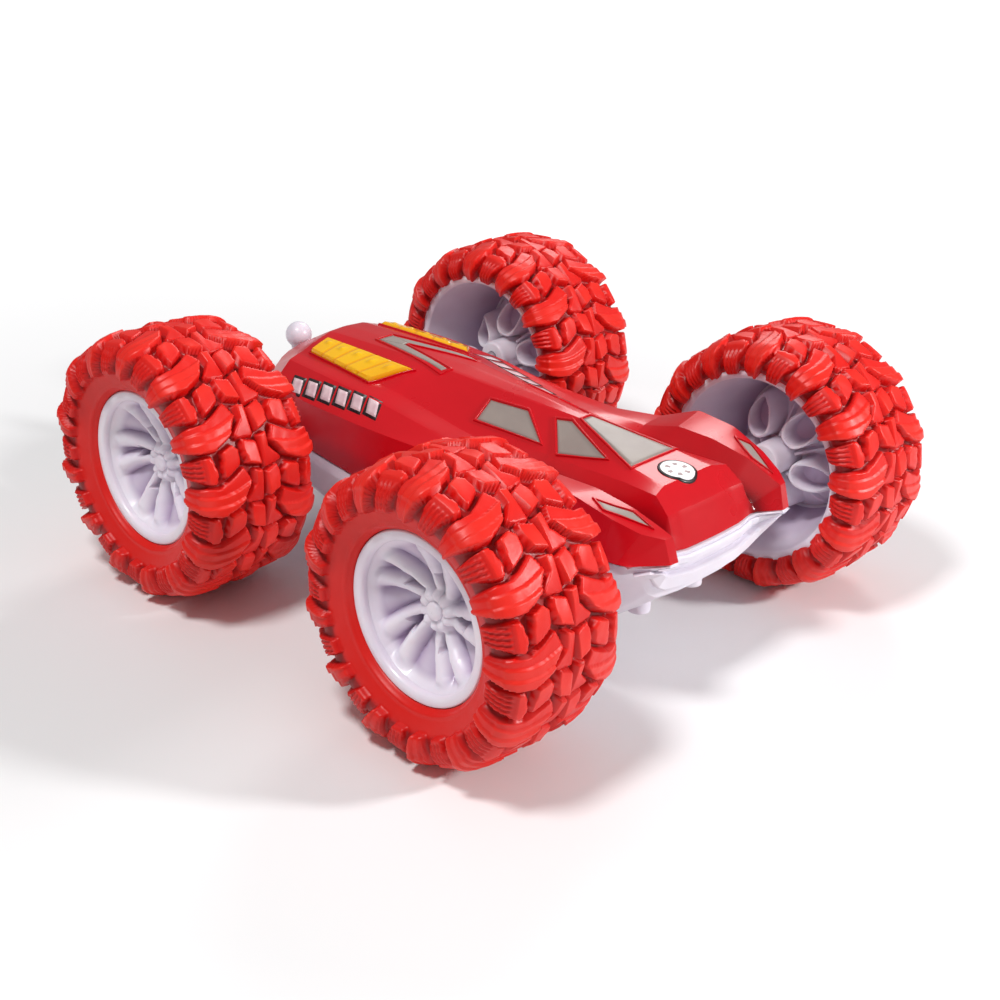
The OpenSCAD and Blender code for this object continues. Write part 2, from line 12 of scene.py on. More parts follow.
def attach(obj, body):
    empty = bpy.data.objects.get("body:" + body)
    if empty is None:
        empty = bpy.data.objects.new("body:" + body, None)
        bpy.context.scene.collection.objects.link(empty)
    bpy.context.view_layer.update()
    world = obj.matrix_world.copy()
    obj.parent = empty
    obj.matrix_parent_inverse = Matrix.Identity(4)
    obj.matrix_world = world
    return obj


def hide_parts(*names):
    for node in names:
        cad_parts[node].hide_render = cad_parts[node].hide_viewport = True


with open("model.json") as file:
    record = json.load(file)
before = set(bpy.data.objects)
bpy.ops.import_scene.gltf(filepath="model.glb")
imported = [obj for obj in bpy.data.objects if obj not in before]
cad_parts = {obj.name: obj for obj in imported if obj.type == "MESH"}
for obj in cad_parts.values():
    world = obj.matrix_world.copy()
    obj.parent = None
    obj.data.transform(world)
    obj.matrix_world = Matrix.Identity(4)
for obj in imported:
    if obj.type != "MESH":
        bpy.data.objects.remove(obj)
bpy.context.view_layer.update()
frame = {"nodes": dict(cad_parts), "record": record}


COLLECTION = bpy.context.scene.collection

MM = 0.001           # metres in a millimetre
BODY_UNIT = 18.0     # mm; the body's outlines and stations are drawn in this unit
AXLE_Z = 31.0        # mm; also the height that the body's z values count from
AXLE_X = 45          # mm; the axles lie at plus and minus this
WHEEL_Y = 55         # mm; centre plane of a left wheel
AXLE_ENDS = [(x, side) for x in (AXLE_X, -AXLE_X) for side in (1, -1)]
PILLARS = [(x, y) for x in (54, -54) for y in (9, -9)]   # mm; upright tubes in the tub

# ------------------------------------------------------------------ materials
MATS = {}


def srgb(*rgb):
    """Linear colour from 0-255 sRGB values."""
    linear = [c / 255 / 12.92 if c / 255 <= 0.04045 else ((c / 255 + 0.055) / 1.055) ** 2.4
              for c in rgb]
    return (*linear, 1.0)


def plug(tree, target, inputs):
    """Gives each named input of a node its value, or a link if the value is a socket."""
    for key, value in inputs.items():
        if isinstance(value, bpy.types.NodeSocket):
            tree.links.new(value, target.inputs[key])
        else:
            target.inputs[key].default_value = value


def node(tree, kind, inputs=None, **settings):
    made = tree.nodes.new("ShaderNode" + kind)
    for key, value in settings.items():
        setattr(made, key, value)
    plug(tree, made, inputs or {})
    return made


def new_material(name):
    material = bpy.data.materials.new(name)
    material.use_nodes = True
    MATS[name] = material
    return material.node_tree, material.node_tree.nodes["Principled BSDF"]


def noise(tree, scale, detail=4.0):
    place = node(tree, "TexCoord").outputs["Object"]
    inputs = {"Scale": scale, "Detail": detail, "Roughness": 0.55, "Vector": place}
    return node(tree, "TexNoise", inputs).outputs["Fac"]


def ramp(tree, source, stops):
    made = node(tree, "ValToRGB", {"Fac": source})
    elements = made.color_ramp.elements
    while len(elements) < len(stops):
        elements.new(0.5)
    for element, (position, colour) in zip(elements, stops):
        element.position = position
        element.color = colour
    return made.outputs["Color"]


def map_range(tree, source, **limits):
    """Maps source to the limits given: from_min, from_max, to_min, to_max."""
    inputs = {key.replace("_", " ").title(): value for key, value in limits.items()}
    return node(tree, "MapRange", {**inputs, "Value": source}).outputs["Result"]


def bump(tree, height, strength, distance):
    inputs = {"Strength": strength, "Distance": distance, "Height": height}
    return node(tree, "Bump", inputs).outputs["Normal"]


def plastic(name, low, high, rough, coat, mottle, grain_bump, grain,
            metallic=0.0, subsurface=0.0, specular=0.5, painted_shade=None):
    """Moulded surface, mottled between two colours.

    Where the mesh's attribute of painted shade falls to 0, the colour turns to the shade colour, if one
    is given.
    """
    tree, shader = new_material(name)
    colour = ramp(tree, noise(tree, mottle), [(0.3, srgb(*low)), (0.7, srgb(*high))])
    # painted shade: the shade colour is mixed in where the mesh attribute marks shade
    if painted_shade:
        unshaded = node(tree, "Attribute", attribute_name="painted_shade_mask").outputs["Fac"]
        mix = {"Factor": unshaded, "A": srgb(*painted_shade), "B": colour}
        colour = node(tree, "Mix", mix, data_type="RGBA").outputs["Result"]
    plug(tree, shader, {
        "Base Color": colour,
        "Roughness": map_range(tree, noise(tree, mottle * 2.3, detail=3),
                               to_min=rough * 0.85, to_max=rough * 1.2),
        "Coat Weight": coat,
        "Coat Roughness": 0.12,
        "Metallic": metallic,
        "Specular IOR Level": specular,
        "Normal": bump(tree, noise(tree, grain, detail=3), strength=grain_bump, distance=0.0002),
    })
    if subsurface:
        plug(tree, shader, {"Subsurface Weight": subsurface,
                            "Subsurface Radius": (1.0, 0.5, 0.5),
                            "Subsurface Scale": 0.0015})


# name, two sRGB colours, roughness, coat, mottle scale, bump strength, grain scale, extras
# the shade colours in the extras are painted shade: dark red in the shell's grooves, purple between the
# rim's ribs, deep amber between the lamp cells
PLASTICS = (
    ("red_shell", (194, 1, 17), (209, 4, 25), 0.28, 0.22, 40, 0.03, 700,
     dict(specular=0.38, painted_shade=(88, 0, 8))),
    ("white_plastic", (226, 218, 231), (237, 230, 240), 0.36, 0.15, 70, 0.04, 900,
     dict(subsurface=0.06)),
    ("rim_white", (236, 227, 241), (247, 241, 249), 0.34, 0.2, 70, 0.04, 900,
     dict(subsurface=0.12, painted_shade=(146, 110, 160))),
    ("window_grey", (146, 133, 127), (158, 146, 138), 0.42, 0.1, 90, 0.05, 1400, {}),
    ("amber_lens", (250, 178, 0), (255, 198, 8), 0.22, 0.5, 50, 0.03, 800,
     dict(painted_shade=(232, 138, 0))),
    ("steel", (168, 168, 172), (205, 205, 208), 0.3, 0, 120, 0.06, 1500, dict(metallic=1.0)),
    ("circuit_green", (10, 74, 34), (18, 96, 46), 0.35, 0.3, 200, 0.08, 1200, {}),
    ("cell_wrap", (22, 60, 120), (34, 82, 150), 0.3, 0.3, 90, 0.04, 900, {}),
    ("black_plastic", (20, 20, 22), (34, 34, 37), 0.42, 0.0, 90, 0.08, 1100, {}),
    ("bronze", (150, 104, 52), (182, 132, 72), 0.4, 0, 220, 0.1, 2200, dict(metallic=1.0)),
    ("gear_nylon", (224, 222, 210), (238, 236, 226), 0.4, 0.0, 90, 0.04, 900,
     dict(subsurface=0.1)),
    ("plate_grey", (120, 120, 126), (142, 142, 148), 0.45, 0.0, 90, 0.06, 900, {}),
    ("mark_pink", (206, 170, 178), (230, 204, 208), 0.35, 0.1, 300, 0.02, 900, {}),
    ("mark_black", (18, 10, 12), (34, 22, 24), 0.4, 0.1, 200, 0.02, 900, {}),
    ("badge_white", (232, 226, 228), (246, 242, 244), 0.32, 0.2, 150, 0.02, 900, {}),
    ("wire_red", (150, 12, 12), (180, 20, 20), 0.4, 0.1, 150, 0.03, 900, {}),
    ("wire_black", (16, 16, 18), (30, 30, 32), 0.4, 0.1, 150, 0.03, 900, {}),
)
for *values, extras in PLASTICS:
    plastic(*values, **extras)


def tyre_material():
    """Red rubber with painted shade between the lugs and a painted lighter tone on their tops."""
    tree, shader = new_material("tyre_red")
    unshaded = node(tree, "Attribute", attribute_name="painted_shade_mask").outputs["Fac"]
    mottle = noise(tree, 130, detail=5)
    # painted shade: the ramp runs from deep red down in the grooves to a painted lighter orange-red on
    # the lug tops
    blend = node(tree, "Math", {0: mottle, 1: 0.16, 2: unshaded}, operation="MULTIPLY_ADD")
    stops = [(0.0, srgb(128, 4, 7)), (0.35, srgb(200, 10, 10)),
             (0.8, srgb(228, 26, 16)), (1.0, srgb(236, 44, 30))]
    plug(tree, shader, {
        "Base Color": ramp(tree, blend.outputs[0], stops),
        "Roughness": map_range(tree, noise(tree, 420), to_min=0.3, to_max=0.5),
        "Specular IOR Level": 0.4,
        "Subsurface Weight": 0.03,
        "Subsurface Radius": (1.0, 0.15, 0.1),
        "Subsurface Scale": 0.001,
        "Normal": bump(tree, noise(tree, 1100), strength=0.12, distance=0.0003),
    })


tyre_material()
RED, WHITE, RIM_WHITE = MATS["red_shell"], MATS["white_plastic"], MATS["rim_white"]
GREY, AMBER = MATS["window_grey"], MATS["amber_lens"]

# ------------------------------------------------------------------ mesh helpers


def shade_smooth(o, smooth=True):
    o.data.polygons.foreach_set("use_smooth", np.full(len(o.data.polygons), smooth))


def sharpen(o, degrees):
    o.data.set_sharp_from_angle(angle=math.radians(degrees))


def mesh_obj(name, points, faces, materials, face_materials=None, painted_shade=None, smooth=True):
    """Object from points in millimetres; the painted shade values fill the mesh attribute of painted
    shade.
    """
    mesh = bpy.data.meshes.new(name)
    faces = [tuple(int(i) for i in face) for face in faces]
    mesh.from_pydata((np.asarray(points, float) * MM).tolist(), [], faces)
    for material in (materials if isinstance(materials, list) else [materials]):
        mesh.materials.append(material)
    if face_materials is not None:
        mesh.polygons.foreach_set("material_index", np.asarray(face_materials, np.int32))
    if painted_shade is not None:
        layer = mesh.attributes.new("painted_shade_mask", "FLOAT", "POINT")
        layer.data.foreach_set("value", np.asarray(painted_shade, np.float32))
    mesh.validate(clean_customdata=False)
    o = bpy.data.objects.new(name, mesh)
    COLLECTION.objects.link(o)
    shade_smooth(o, smooth)
    return o


def fix_normals(o, weld=False, dissolve=False):
    """Turns the faces outwards, after welding doubled points or dissolving slivers."""
    bm = bmesh.new()
    bm.from_mesh(o.data)
    if weld:
        bmesh.ops.remove_doubles(bm, verts=bm.verts, dist=1e-7)
    if dissolve:
        bmesh.ops.dissolve_degenerate(bm, edges=bm.edges, dist=1e-8)
    bmesh.ops.recalc_face_normals(bm, faces=bm.faces)
    bm.to_mesh(o.data)
    bm.free()
    return o


def modify(o, kind, **settings):
    """Adds one modifier and applies it."""
    modifier = o.modifiers.new(kind.lower(), kind)
    for key, value in settings.items():
        setattr(modifier, key, value)
    graph = bpy.context.evaluated_depsgraph_get()
    graph.update()
    mesh = bpy.data.meshes.new_from_object(o.evaluated_get(graph))
    old = o.data
    o.modifiers.clear()
    o.data = mesh
    bpy.data.meshes.remove(old)


def bevel(o, width, segments, degrees=None):
    """Bevels by a width in mm, on edges sharper than the angle if one is given."""
    limit = {}
    if degrees:
        limit = dict(limit_method="ANGLE", angle_limit=math.radians(degrees))
    modify(o, "BEVEL", width=width * MM, segments=segments, **limit)


def weigh_normals(o):
    """Lets the broad facets set the shading, with the narrow bevels as soft edges."""
    modify(o, "WEIGHTED_NORMAL", weight=50, keep_sharp=True)


def thicken(o, wall):
    modify(o, "SOLIDIFY", thickness=wall * MM, offset=-1, use_even_offset=False)


def cut(o, cutters):
    for cutter in cutters:
        fix_normals(cutter)
        modify(o, "BOOLEAN", operation="DIFFERENCE", solver="EXACT", object=cutter)
        bpy.data.objects.remove(cutter)


def coords(mesh):
    """Vertex positions in metres."""
    flat = np.empty(len(mesh.vertices) * 3, np.float32)
    mesh.vertices.foreach_get("co", flat)
    return flat.reshape(-1, 3).astype(float)


def merge(name, objects):
    """Joins objects into one piece, keeping materials, smoothing and the attribute of painted shade."""
    points, faces, face_materials, painted_shade, smooth, materials = [], [], [], [], [], []
    base = 0
    for o in objects:
        mesh = o.data
        count = len(mesh.vertices)
        points.append(coords(mesh))
        slots = []
        for material in mesh.materials:
            if material not in materials:
                materials.append(material)
            slots.append(materials.index(material))
        for face in mesh.polygons:
            faces.append([base + i for i in face.vertices])
            face_materials.append(slots[face.material_index])
            smooth.append(face.use_smooth)
        values = np.ones(count, np.float32)
        layer = mesh.attributes.get("painted_shade_mask")
        if layer:
            layer.data.foreach_get("value", values)
        painted_shade.append(values)
        base += count
        bpy.data.objects.remove(o)
    o = mesh_obj(name, np.concatenate(points) / MM, faces, materials, face_materials,
                 np.concatenate(painted_shade))
    o.data.polygons.foreach_set("use_smooth", smooth)
    return o


def quads(a, b):
    """Faces between two arrays of vertex numbers, closed along the second axis."""
    return np.stack([a, b, np.roll(b, -1, 1), np.roll(a, -1, 1)], -1).reshape(-1, 4)


def closed_faces(rows, columns):
    """Faces of a grid that closes on itself both ways."""
    index = np.arange(rows * columns).reshape(rows, columns)
    return quads(index, np.roll(index, -1, 0))


def revolve(name, outline, steps, material, painted_shade=None, sharp=35, axis="y"):
    """Closed (axial, radius) outline in mm turned round the y or z axis."""
    outline = np.asarray(outline, float)
    turn = np.arange(steps) * 2 * math.pi / steps
    across = np.outer(np.cos(turn), outline[:, 1])
    over = np.outer(np.sin(turn), outline[:, 1])
    along = np.tile(outline[:, 0], (steps, 1))
    order = [across, along, over] if axis == "y" else [across, over, along]
    o = mesh_obj(name, np.stack(order, -1).reshape(-1, 3), closed_faces(steps, len(outline)),
                 material, painted_shade=None if painted_shade is None else np.tile(painted_shade, steps))
    fix_normals(o)
    sharpen(o, sharp)
    return o


def rounded(outline, radius):
    """Rounds the corners of a closed outline, four points to a corner."""
    points = np.asarray(outline, float)
    result = []
    for i, corner in enumerate(points):
        back, ahead = points[i - 1] - corner, points[(i + 1) % len(points)] - corner
        back_len, ahead_len = np.linalg.norm(back), np.linalg.norm(ahead)
        reach = min(radius, back_len * 0.4, ahead_len * 0.4)
        start, end = corner + back / back_len * reach, corner + ahead / ahead_len * reach
        for k in range(4):
            t = k / 3
            result.append((1 - t) ** 2 * start + 2 * t * (1 - t) * corner + t * t * end)
    return np.array(result)


def prism(name, outline, start, end, axis):
    """Closed prism: outline in the plane across the axis (xz for y, xy for z)."""
    n = len(outline)
    points = []
    for t in (start, end):
        for a, b in outline:
            points.append((a, t, b) if axis == "y" else (a, b, t))
    faces = [list(range(n))[::-1], list(range(n, 2 * n))]
    faces += [[i, (i + 1) % n, n + (i + 1) % n, n + i] for i in range(n)]
    return mesh_obj(name, points, faces, WHITE, smooth=False)


def move(o, dx=0, dy=0, dz=0, side=1):
    """Shifts the mesh by millimetres; side -1 mirrors it in y first."""
    for v in o.data.vertices:
        v.co = (v.co.x + dx * MM, v.co.y * side + dy * MM, v.co.z + dz * MM)


def smoothstep(x):
    x = np.clip(x, 0, 1)
    return x * x * (3 - 2 * x)


def signed_area(points):
    """Twice the area of a closed outline, positive when it runs anticlockwise."""
    n = len(points)
    return sum(points[i][0] * points[(i + 1) % n][1] - points[(i + 1) % n][0] * points[i][1]
               for i in range(n))


# ------------------------------------------------------------------ body stations
# One station a row, from the tail to the nose. A row holds seven x, y, z points in body units,
# from the centreline out to the waist on the left side; z counts from the axles.
SHELL = np.array([
    -3.7,0,.02, -3.68,.22,.02, -3.62,.5,.02, -3.57,.66,.02, -3.49,.82,.02, -3.38,1.02,.01, -3.32,1.1,0,
    -3.62,0,.56, -3.6,.22,.56, -3.55,.5,.52, -3.5,.66,.48, -3.42,.82,.43, -3.3,1.02,.36, -3.22,1.16,.01,
    -2.9,0,.97, -2.88,.3,.96, -2.88,.62,.86, -2.86,.84,.78, -2.8,1.08,.75, -2.72,1.42,.52, -2.72,1.48,.03,
    -2,0,1.03, -2,.3,1.02, -2,.62,.91, -2,.86,.81, -2,1.14,.77, -2,1.5,.5, -2,1.52,-.12,
    -1,0,1.07, -1,.28,1.06, -1,.6,.95, -1,.88,.82, -1,1.16,.755, -1,1.5,.51, -1,1.52,-.21,
    -.45,0,1.09, -.45,.25,1.06, -.4,.62,.87, -.4,.86,.75, -.4,1.15,.7, -.4,1.47,.52, -.4,1.52,-.22,
    .3,0,1.08, .28,.2,1.045, .32,.7,.745, .3,.86,.67, .3,1.12,.62, .3,1.42,.54, .3,1.5,-.22,
    .9,0,1.07, .9,.15,1.035, .9,.68,.73, .9,.86,.64, .9,1.12,.61, .9,1.42,.55, .9,1.5,-.18,
    1.545,0,1.025, 1.545,.09,1.023, 1.6,.66,.7, 1.6,.84,.52, 1.6,1.12,.62, 1.6,1.45,.66, 1.6,1.55,0,
    2.1,0,.94, 2.1,.245,.935, 2.15,.62,.715, 2.15,.82,.47, 2.15,1.1,.79, 2.15,1.5,.9, 2.15,1.6,.18,
    2.65,0,.85, 2.65,.4,.845, 2.68,.62,.75, 2.7,.8,.43, 2.7,1.08,.81, 2.7,1.5,.86, 2.7,1.62,.26,
    3.15,0,.8, 3.15,.44,.8, 3.22,.66,.77, 3.2,.8,.42, 3.25,1.06,.745, 3.22,1.42,.72, 3.22,1.58,.28,
    3.43,0,.58, 3.42,.48,.59, 3.45,.7,.6, 3.46,.8,.36, 3.62,1.03,.635, 3.55,1.3,.62, 3.42,1.54,.28,
    3.54,0,.36, 3.53,.5,.37, 3.54,.72,.4, 3.56,.8,.33, 3.78,1.02,.58, 3.76,1.14,.58, 3.49,1.51,.28,
    3.62,0,.19, 3.61,.5,.2, 3.59,.73,.23, 3.63,.8,.25, 3.87,1,.3, 3.86,1.13,.3, 3.55,1.48,.28,
]).reshape(-1, 7, 3)
TUB = np.array([
    -3.7,0,-.01, -3.67,.35,-.01, -3.6,.6,-.01, -3.52,.8,-.01, -3.45,.92,-.01, -3.38,1.02,-.02,
    -3.32,1.1,-.03,
    -3.64,0,-.35, -3.62,.35,-.35, -3.55,.6,-.35, -3.47,.8,-.34, -3.41,.95,-.3, -3.31,1.08,-.2,
    -3.24,1.15,-.02,
    -3.3,0,-.66, -3.3,.35,-.66, -3.25,.65,-.66, -3.2,.9,-.6, -3.12,1.1,-.44, -3.04,1.24,-.22,
    -3,1.3,-.01,
    -2.75,0,-1, -2.75,.35,-1, -2.75,.7,-1, -2.73,1,-.96, -2.72,1.27,-.62, -2.72,1.43,-.26, -2.72,1.48,0,
    -2.2,0,-1.07, -2.2,.35,-1.07, -2.2,.7,-1.07, -2.1,1.1,-1.04, -2,1.38,-.75, -2,1.5,-.32, -2,1.52,-.15,
    -1,0,-1.07, -1,.35,-1.07, -1,.7,-1.07, -1,1.12,-1.05, -1,1.4,-.78, -1,1.5,-.42, -1,1.52,-.24,
    -.4,0,-1.07, -.4,.35,-1.07, -.4,.7,-1.07, -.4,1.12,-1.05, -.4,1.4,-.78, -.4,1.5,-.42, -.4,1.52,-.25,
    .3,0,-1.07, .3,.35,-1.07, .3,.7,-1.07, .3,1.12,-1.05, .3,1.38,-.78, .3,1.48,-.42, .3,1.5,-.25,
    .9,0,-1.07, .9,.35,-1.07, .9,.7,-1.07, .9,1.12,-1.05, .9,1.38,-.78, .9,1.48,-.4, .9,1.5,-.21,
    1.6,0,-1.07, 1.6,.35,-1.07, 1.6,.7,-1.07, 1.6,1.12,-1.05, 1.6,1.4,-.75, 1.6,1.53,-.22, 1.6,1.55,-.03,
    2.35,0,-1.07, 2.35,.35,-1.07, 2.35,.7,-1.07, 2.25,1.1,-1.03, 2.15,1.42,-.65, 2.15,1.57,-.03,
    2.15,1.6,.15,
    2.75,0,-1, 2.75,.35,-1, 2.75,.7,-1, 2.7,1.06,-.92, 2.7,1.42,-.48, 2.7,1.6,.06, 2.7,1.62,.23,
    3.2,0,-.66, 3.2,.4,-.66, 3.2,.75,-.64, 3.18,1.02,-.55, 3.18,1.35,-.2, 3.22,1.56,.1, 3.22,1.58,.25,
]).reshape(-1, 7, 3)
# The nose face runs straight from its lower rail to its upper one
NOSE_LOW = np.array([[3.52,0,-.42], [3.51,.4,-.42], [3.46,.8,-.4], [3.47,.98,-.28],
                     [3.5,1.2,0], [3.45,1.44,.12], [3.42,1.53,.25]])
NOSE_TOP = np.array([[3.64,0,.16], [3.63,.5,.17], [3.6,.73,.2], [3.64,.8,.22],
                     [3.88,1,.27], [3.87,1.13,.27], [3.55,1.48,.25]])
# Direction in which the bands stand out from the nose, at each of its points
NOSE_OUT = np.array([[1,0,0], [1,.05,0], [.9,.1,0], [.9,.2,0], [.7,.3,0], [.5,.6,0], [0,.1,0]])
TUB = np.concatenate([TUB, [NOSE_LOW + (NOSE_TOP - NOSE_LOW) * t for t in (0, 0.5, 1)]])
# The tub's waist is tucked in under the shell, more so from the last table row to the nose
TUB[:12, 6, 1] -= 0.02
TUB[12:, 6, 1] -= 0.07
TUB[12:, 6, 2] -= 0.02


def skin(name, stations, up, line_creases, folds, material, fixed=None):
    """Mirrored and subdivided skin over the stations.

    An interior edge's crease comes from its fold (angles, creases), and is at least
    line_creases[line] along a line, counted out from the centre. fixed overrides both.
    """
    fixed = fixed or {}
    grid = np.concatenate([stations[:, :0:-1] * [1, -1, 1], stations], axis=1) * BODY_UNIT
    grid[..., 2] += AXLE_Z
    rows = len(grid)
    index = np.arange(rows * 13).reshape(rows, 13)
    faces = []
    for i in range(rows - 1):
        for j in range(12):
            face = [index[i, j], index[i + 1, j], index[i + 1, j + 1], index[i, j + 1]]
            faces.append(face if up else face[::-1])
    o = mesh_obj(name, grid.reshape(-1, 3), faces, material)
    bm = bmesh.new()
    bm.from_mesh(o.data)
    bm.normal_update()
    layer = bm.edges.layers.float.new("crease_edge")
    for edge in bm.edges:
        (i0, j0), (_, j1) = sorted(divmod(v.index, 13) for v in edge.verts)
        crease = 1.0
        if len(edge.link_faces) > 1:
            crease = float(np.interp(math.degrees(edge.calc_face_angle(0)), *folds))
        if j0 == j1:
            line = abs(j0 - 6)
            least = max(crease, line_creases.get(line, 0))
            crease = fixed.get(("along", i0, line), least)
        else:
            crease = fixed.get(("across", i0), crease)
        edge[layer] = crease
    bm.to_mesh(o.data)
    bm.free()
    modify(o, "SUBSURF", levels=3, render_levels=3, boundary_smooth="PRESERVE_CORNERS")
    return o


# ------------------------------------------------------------------ pieces laid on the shell
shell = skin("shell_moulding", SHELL, up=True, line_creases={1: 0.7, 2: 0.7, 4: 0.5, 5: 0.8},
             folds=([1.5, 4, 9, 30], [0.0, 0.80, 0.92, 1.0]), material=RED)
shell_tree = BVHTree.FromPolygons([v.co[:] for v in shell.data.vertices],
                                  [list(p.vertices) for p in shell.data.polygons])


def shell_at(x, y):
    """Point (mm) and upward normal of the shell over (x, y) in body units."""
    x, y = x * BODY_UNIT, y * BODY_UNIT
    hit = shell_tree.ray_cast(Vector((x * MM, y * MM, 0.12)), Vector((0, 0, -1)))
    if hit[0] is None:
        hit = shell_tree.find_nearest(Vector((x * MM, y * MM, (AXLE_Z + 10) * MM)))
    normal = hit[1]
    if normal.z < 0:
        normal = -normal
    return np.array([x, y, hit[0].z / MM]), np.array(normal)


def patch(name, quad, nu, nv, height, material, depth=0.3, painted_shade=None):
    """Raised solid on the shell inside four (x, y) corners.

    height(s, t) is in mm along the normal; depth is how far the solid sinks into the shell.
    """
    s, t = np.meshgrid(np.linspace(0, 1, nu), np.linspace(0, 1, nv), indexing="ij")
    weights = ((1 - s) * (1 - t), s * (1 - t), s * t, (1 - s) * t)
    xy = sum(w[..., None] * corner for w, corner in zip(weights, np.array(quad, float)))
    lift = height(s, t)
    top, bottom = np.zeros((nu, nv, 3)), np.zeros((nu, nv, 3))
    for i in range(nu):
        for j in range(nv):
            point, normal = shell_at(*xy[i, j])
            top[i, j] = point + normal * lift[i, j]
            bottom[i, j] = point - normal * depth
    a = np.arange(nu * nv).reshape(nu, nv)
    b = a + nu * nv
    faces = []
    for i in range(nu - 1):
        for j in range(nv - 1):
            faces.append([a[i, j], a[i + 1, j], a[i + 1, j + 1], a[i, j + 1]])
            faces.append([b[i, j], b[i, j + 1], b[i + 1, j + 1], b[i + 1, j]])
    rim = [*a[:, 0], *a[-1, 1:], *a[-2::-1, -1], *a[0, -2:0:-1]]
    for this, after in zip(rim, rim[1:] + rim[:1]):
        faces.append([this, nu * nv + this, nu * nv + after, after])
    values = None
    if painted_shade is not None:
        values = np.concatenate([painted_shade(s, t).ravel(), np.ones(nu * nv)])
    points = np.concatenate([top.reshape(-1, 3), bottom.reshape(-1, 3)])
    o = mesh_obj(name, points, faces, material, painted_shade=values)
    fix_normals(o)
    sharpen(o, 40)
    return o


def soft_plate(height, length, width, roll):
    """Height function of a plate whose edges roll off over roll; all in mm."""
    def lift(s, t):
        edge = np.minimum(np.minimum(s, 1 - s) * length, np.minimum(t, 1 - t) * width)
        return height * (0.35 + 0.65 * smoothstep(edge / roll))
    return lift


def level(height):
    return lambda s, t: np.full_like(s, height)


def bead(outline, width=0.7, height=0.42):
    """Thin raised bead (mm) on the shell round an outline of (x, y) points."""
    gap, sunk, steps = 0.05, -0.25, 14
    corners = np.array(outline, float) * BODY_UNIT
    n = len(corners)
    if signed_area(corners) < 0:
        corners = corners[::-1]
    loops = []
    for offset in (gap, gap + width * 0.25, gap + width * 0.75, gap + width):
        ring = []
        for i in range(n):
            a, b, c = corners[i - 1], corners[i], corners[(i + 1) % n]
            into, out = (b - a) / np.linalg.norm(b - a), (c - b) / np.linalg.norm(c - b)
            mitre = np.array([into[1], -into[0]]) + np.array([out[1], -out[0]])
            mitre = mitre / max(0.35, (mitre @ mitre) / 2)
            ring.append(b + mitre * offset)
        loops.append([ring[i] + (ring[(i + 1) % n] - ring[i]) * t / steps
                      for i in range(n) for t in range(steps)])
    loops = np.array(loops)
    points = []
    for j in range(n * steps):
        for k, lift in enumerate((sunk, height, height, sunk)):
            point, normal = shell_at(*(loops[k, j] / BODY_UNIT))
            points.append(point + normal * lift)
    o = mesh_obj("bead", points, closed_faces(n * steps, 4), RED)
    fix_normals(o)
    bevel(o, width=0.12, segments=2, degrees=35)
    shade_smooth(o)
    return o


def mirrored(outline):
    return [(x, -y) for x, y in outline][::-1]


# Outlines of (x, y) points in body units; all but the windscreen, vent centre and vent bead
# are on the left side
WINDSCREEN = [(1.58, .075), (2.63, .39), (2.63, -.39), (1.58, -.075)]
FRONT_WINDOW = [(1.30, .23), (1.49, .17), (2.27, .43), (1.66, .59)]
REAR_WINDOW = [(.31, .37), (.87, .29), (1.35, .57), (.35, .65)]
HEADLIGHT = [(2.90, 1.32), (3.28, 1.13), (3.55, 1.13), (3.06, 1.37)]
VENT_ARM = [(-2.04, .12), (-.66, .31), (-.62, .25), (-1.66, .03)]
VENT_CENTRE = [(-2.06, -.125), (-1.66, -.035), (-1.66, .035), (-2.06, .125)]
VENT_BEAD = [(-2.08, .14), (-2.08, -.14), (-.62, -.345), (-.575, -.238),
             (-1.645, -.03), (-1.645, .03), (-.575, .238), (-.62, .345)]
DECK_LAMP = [(-2.70, .47), (-1.00, .50), (-1.37, .92), (-2.70, .79)]

beads = []


def framed_panels(name, outlines, nu, nv, **bead_size):
    """Grey panels, each with a bead round it."""
    height = soft_plate(height=0.16, length=14, width=6, roll=0.5)
    panels = []
    for outline in outlines:
        panels.append(patch("panel", outline, nu, nv, height, GREY))
        beads.append(bead(outline, **bead_size))
    return merge(name, panels)


def tail_vent():
    height = soft_plate(height=0.14, length=26, width=2.2, roll=0.35)
    pieces = [patch("arm", arm, 34, 8, height, GREY) for arm in (VENT_ARM, mirrored(VENT_ARM))]
    pieces.append(patch("centre", VENT_CENTRE, 10, 10, level(0.13), GREY))
    return merge("tail_vent", pieces)


LAMP_CELLS = 5


def lamp_height(s, t):
    """Row of lamp cells with a bright stud on each."""
    along = (s * LAMP_CELLS) % 1.0
    swell = 0.16 * smoothstep(np.minimum(along, 1 - along) / 0.12)
    cell = np.floor(np.clip(s * LAMP_CELLS, 0, LAMP_CELLS - 0.001))
    # the studs of alternate cells are staggered
    dx, dy = (along - 0.5) * 1.3, (t - (0.34 + 0.05 * (cell % 2))) * 2.2
    stud = 0.35 * smoothstep(1 - np.sqrt(dx ** 2 + dy ** 2) / 0.34)
    return soft_plate(height=1.05, length=28, width=7, roll=0.6)(s, t) + swell + stud


# painted shade in the grooves between the lamp cells, on the amber lens
def lamp_cell_shade(s, t):
    along = (s * LAMP_CELLS) % 1.0
    return 0.35 + 0.65 * smoothstep(np.minimum(along, 1 - along) / 0.14)


def deck_lamp(name, outline):
    return patch(name, outline, 90, 22, lamp_height, AMBER, painted_shade=lamp_cell_shade)


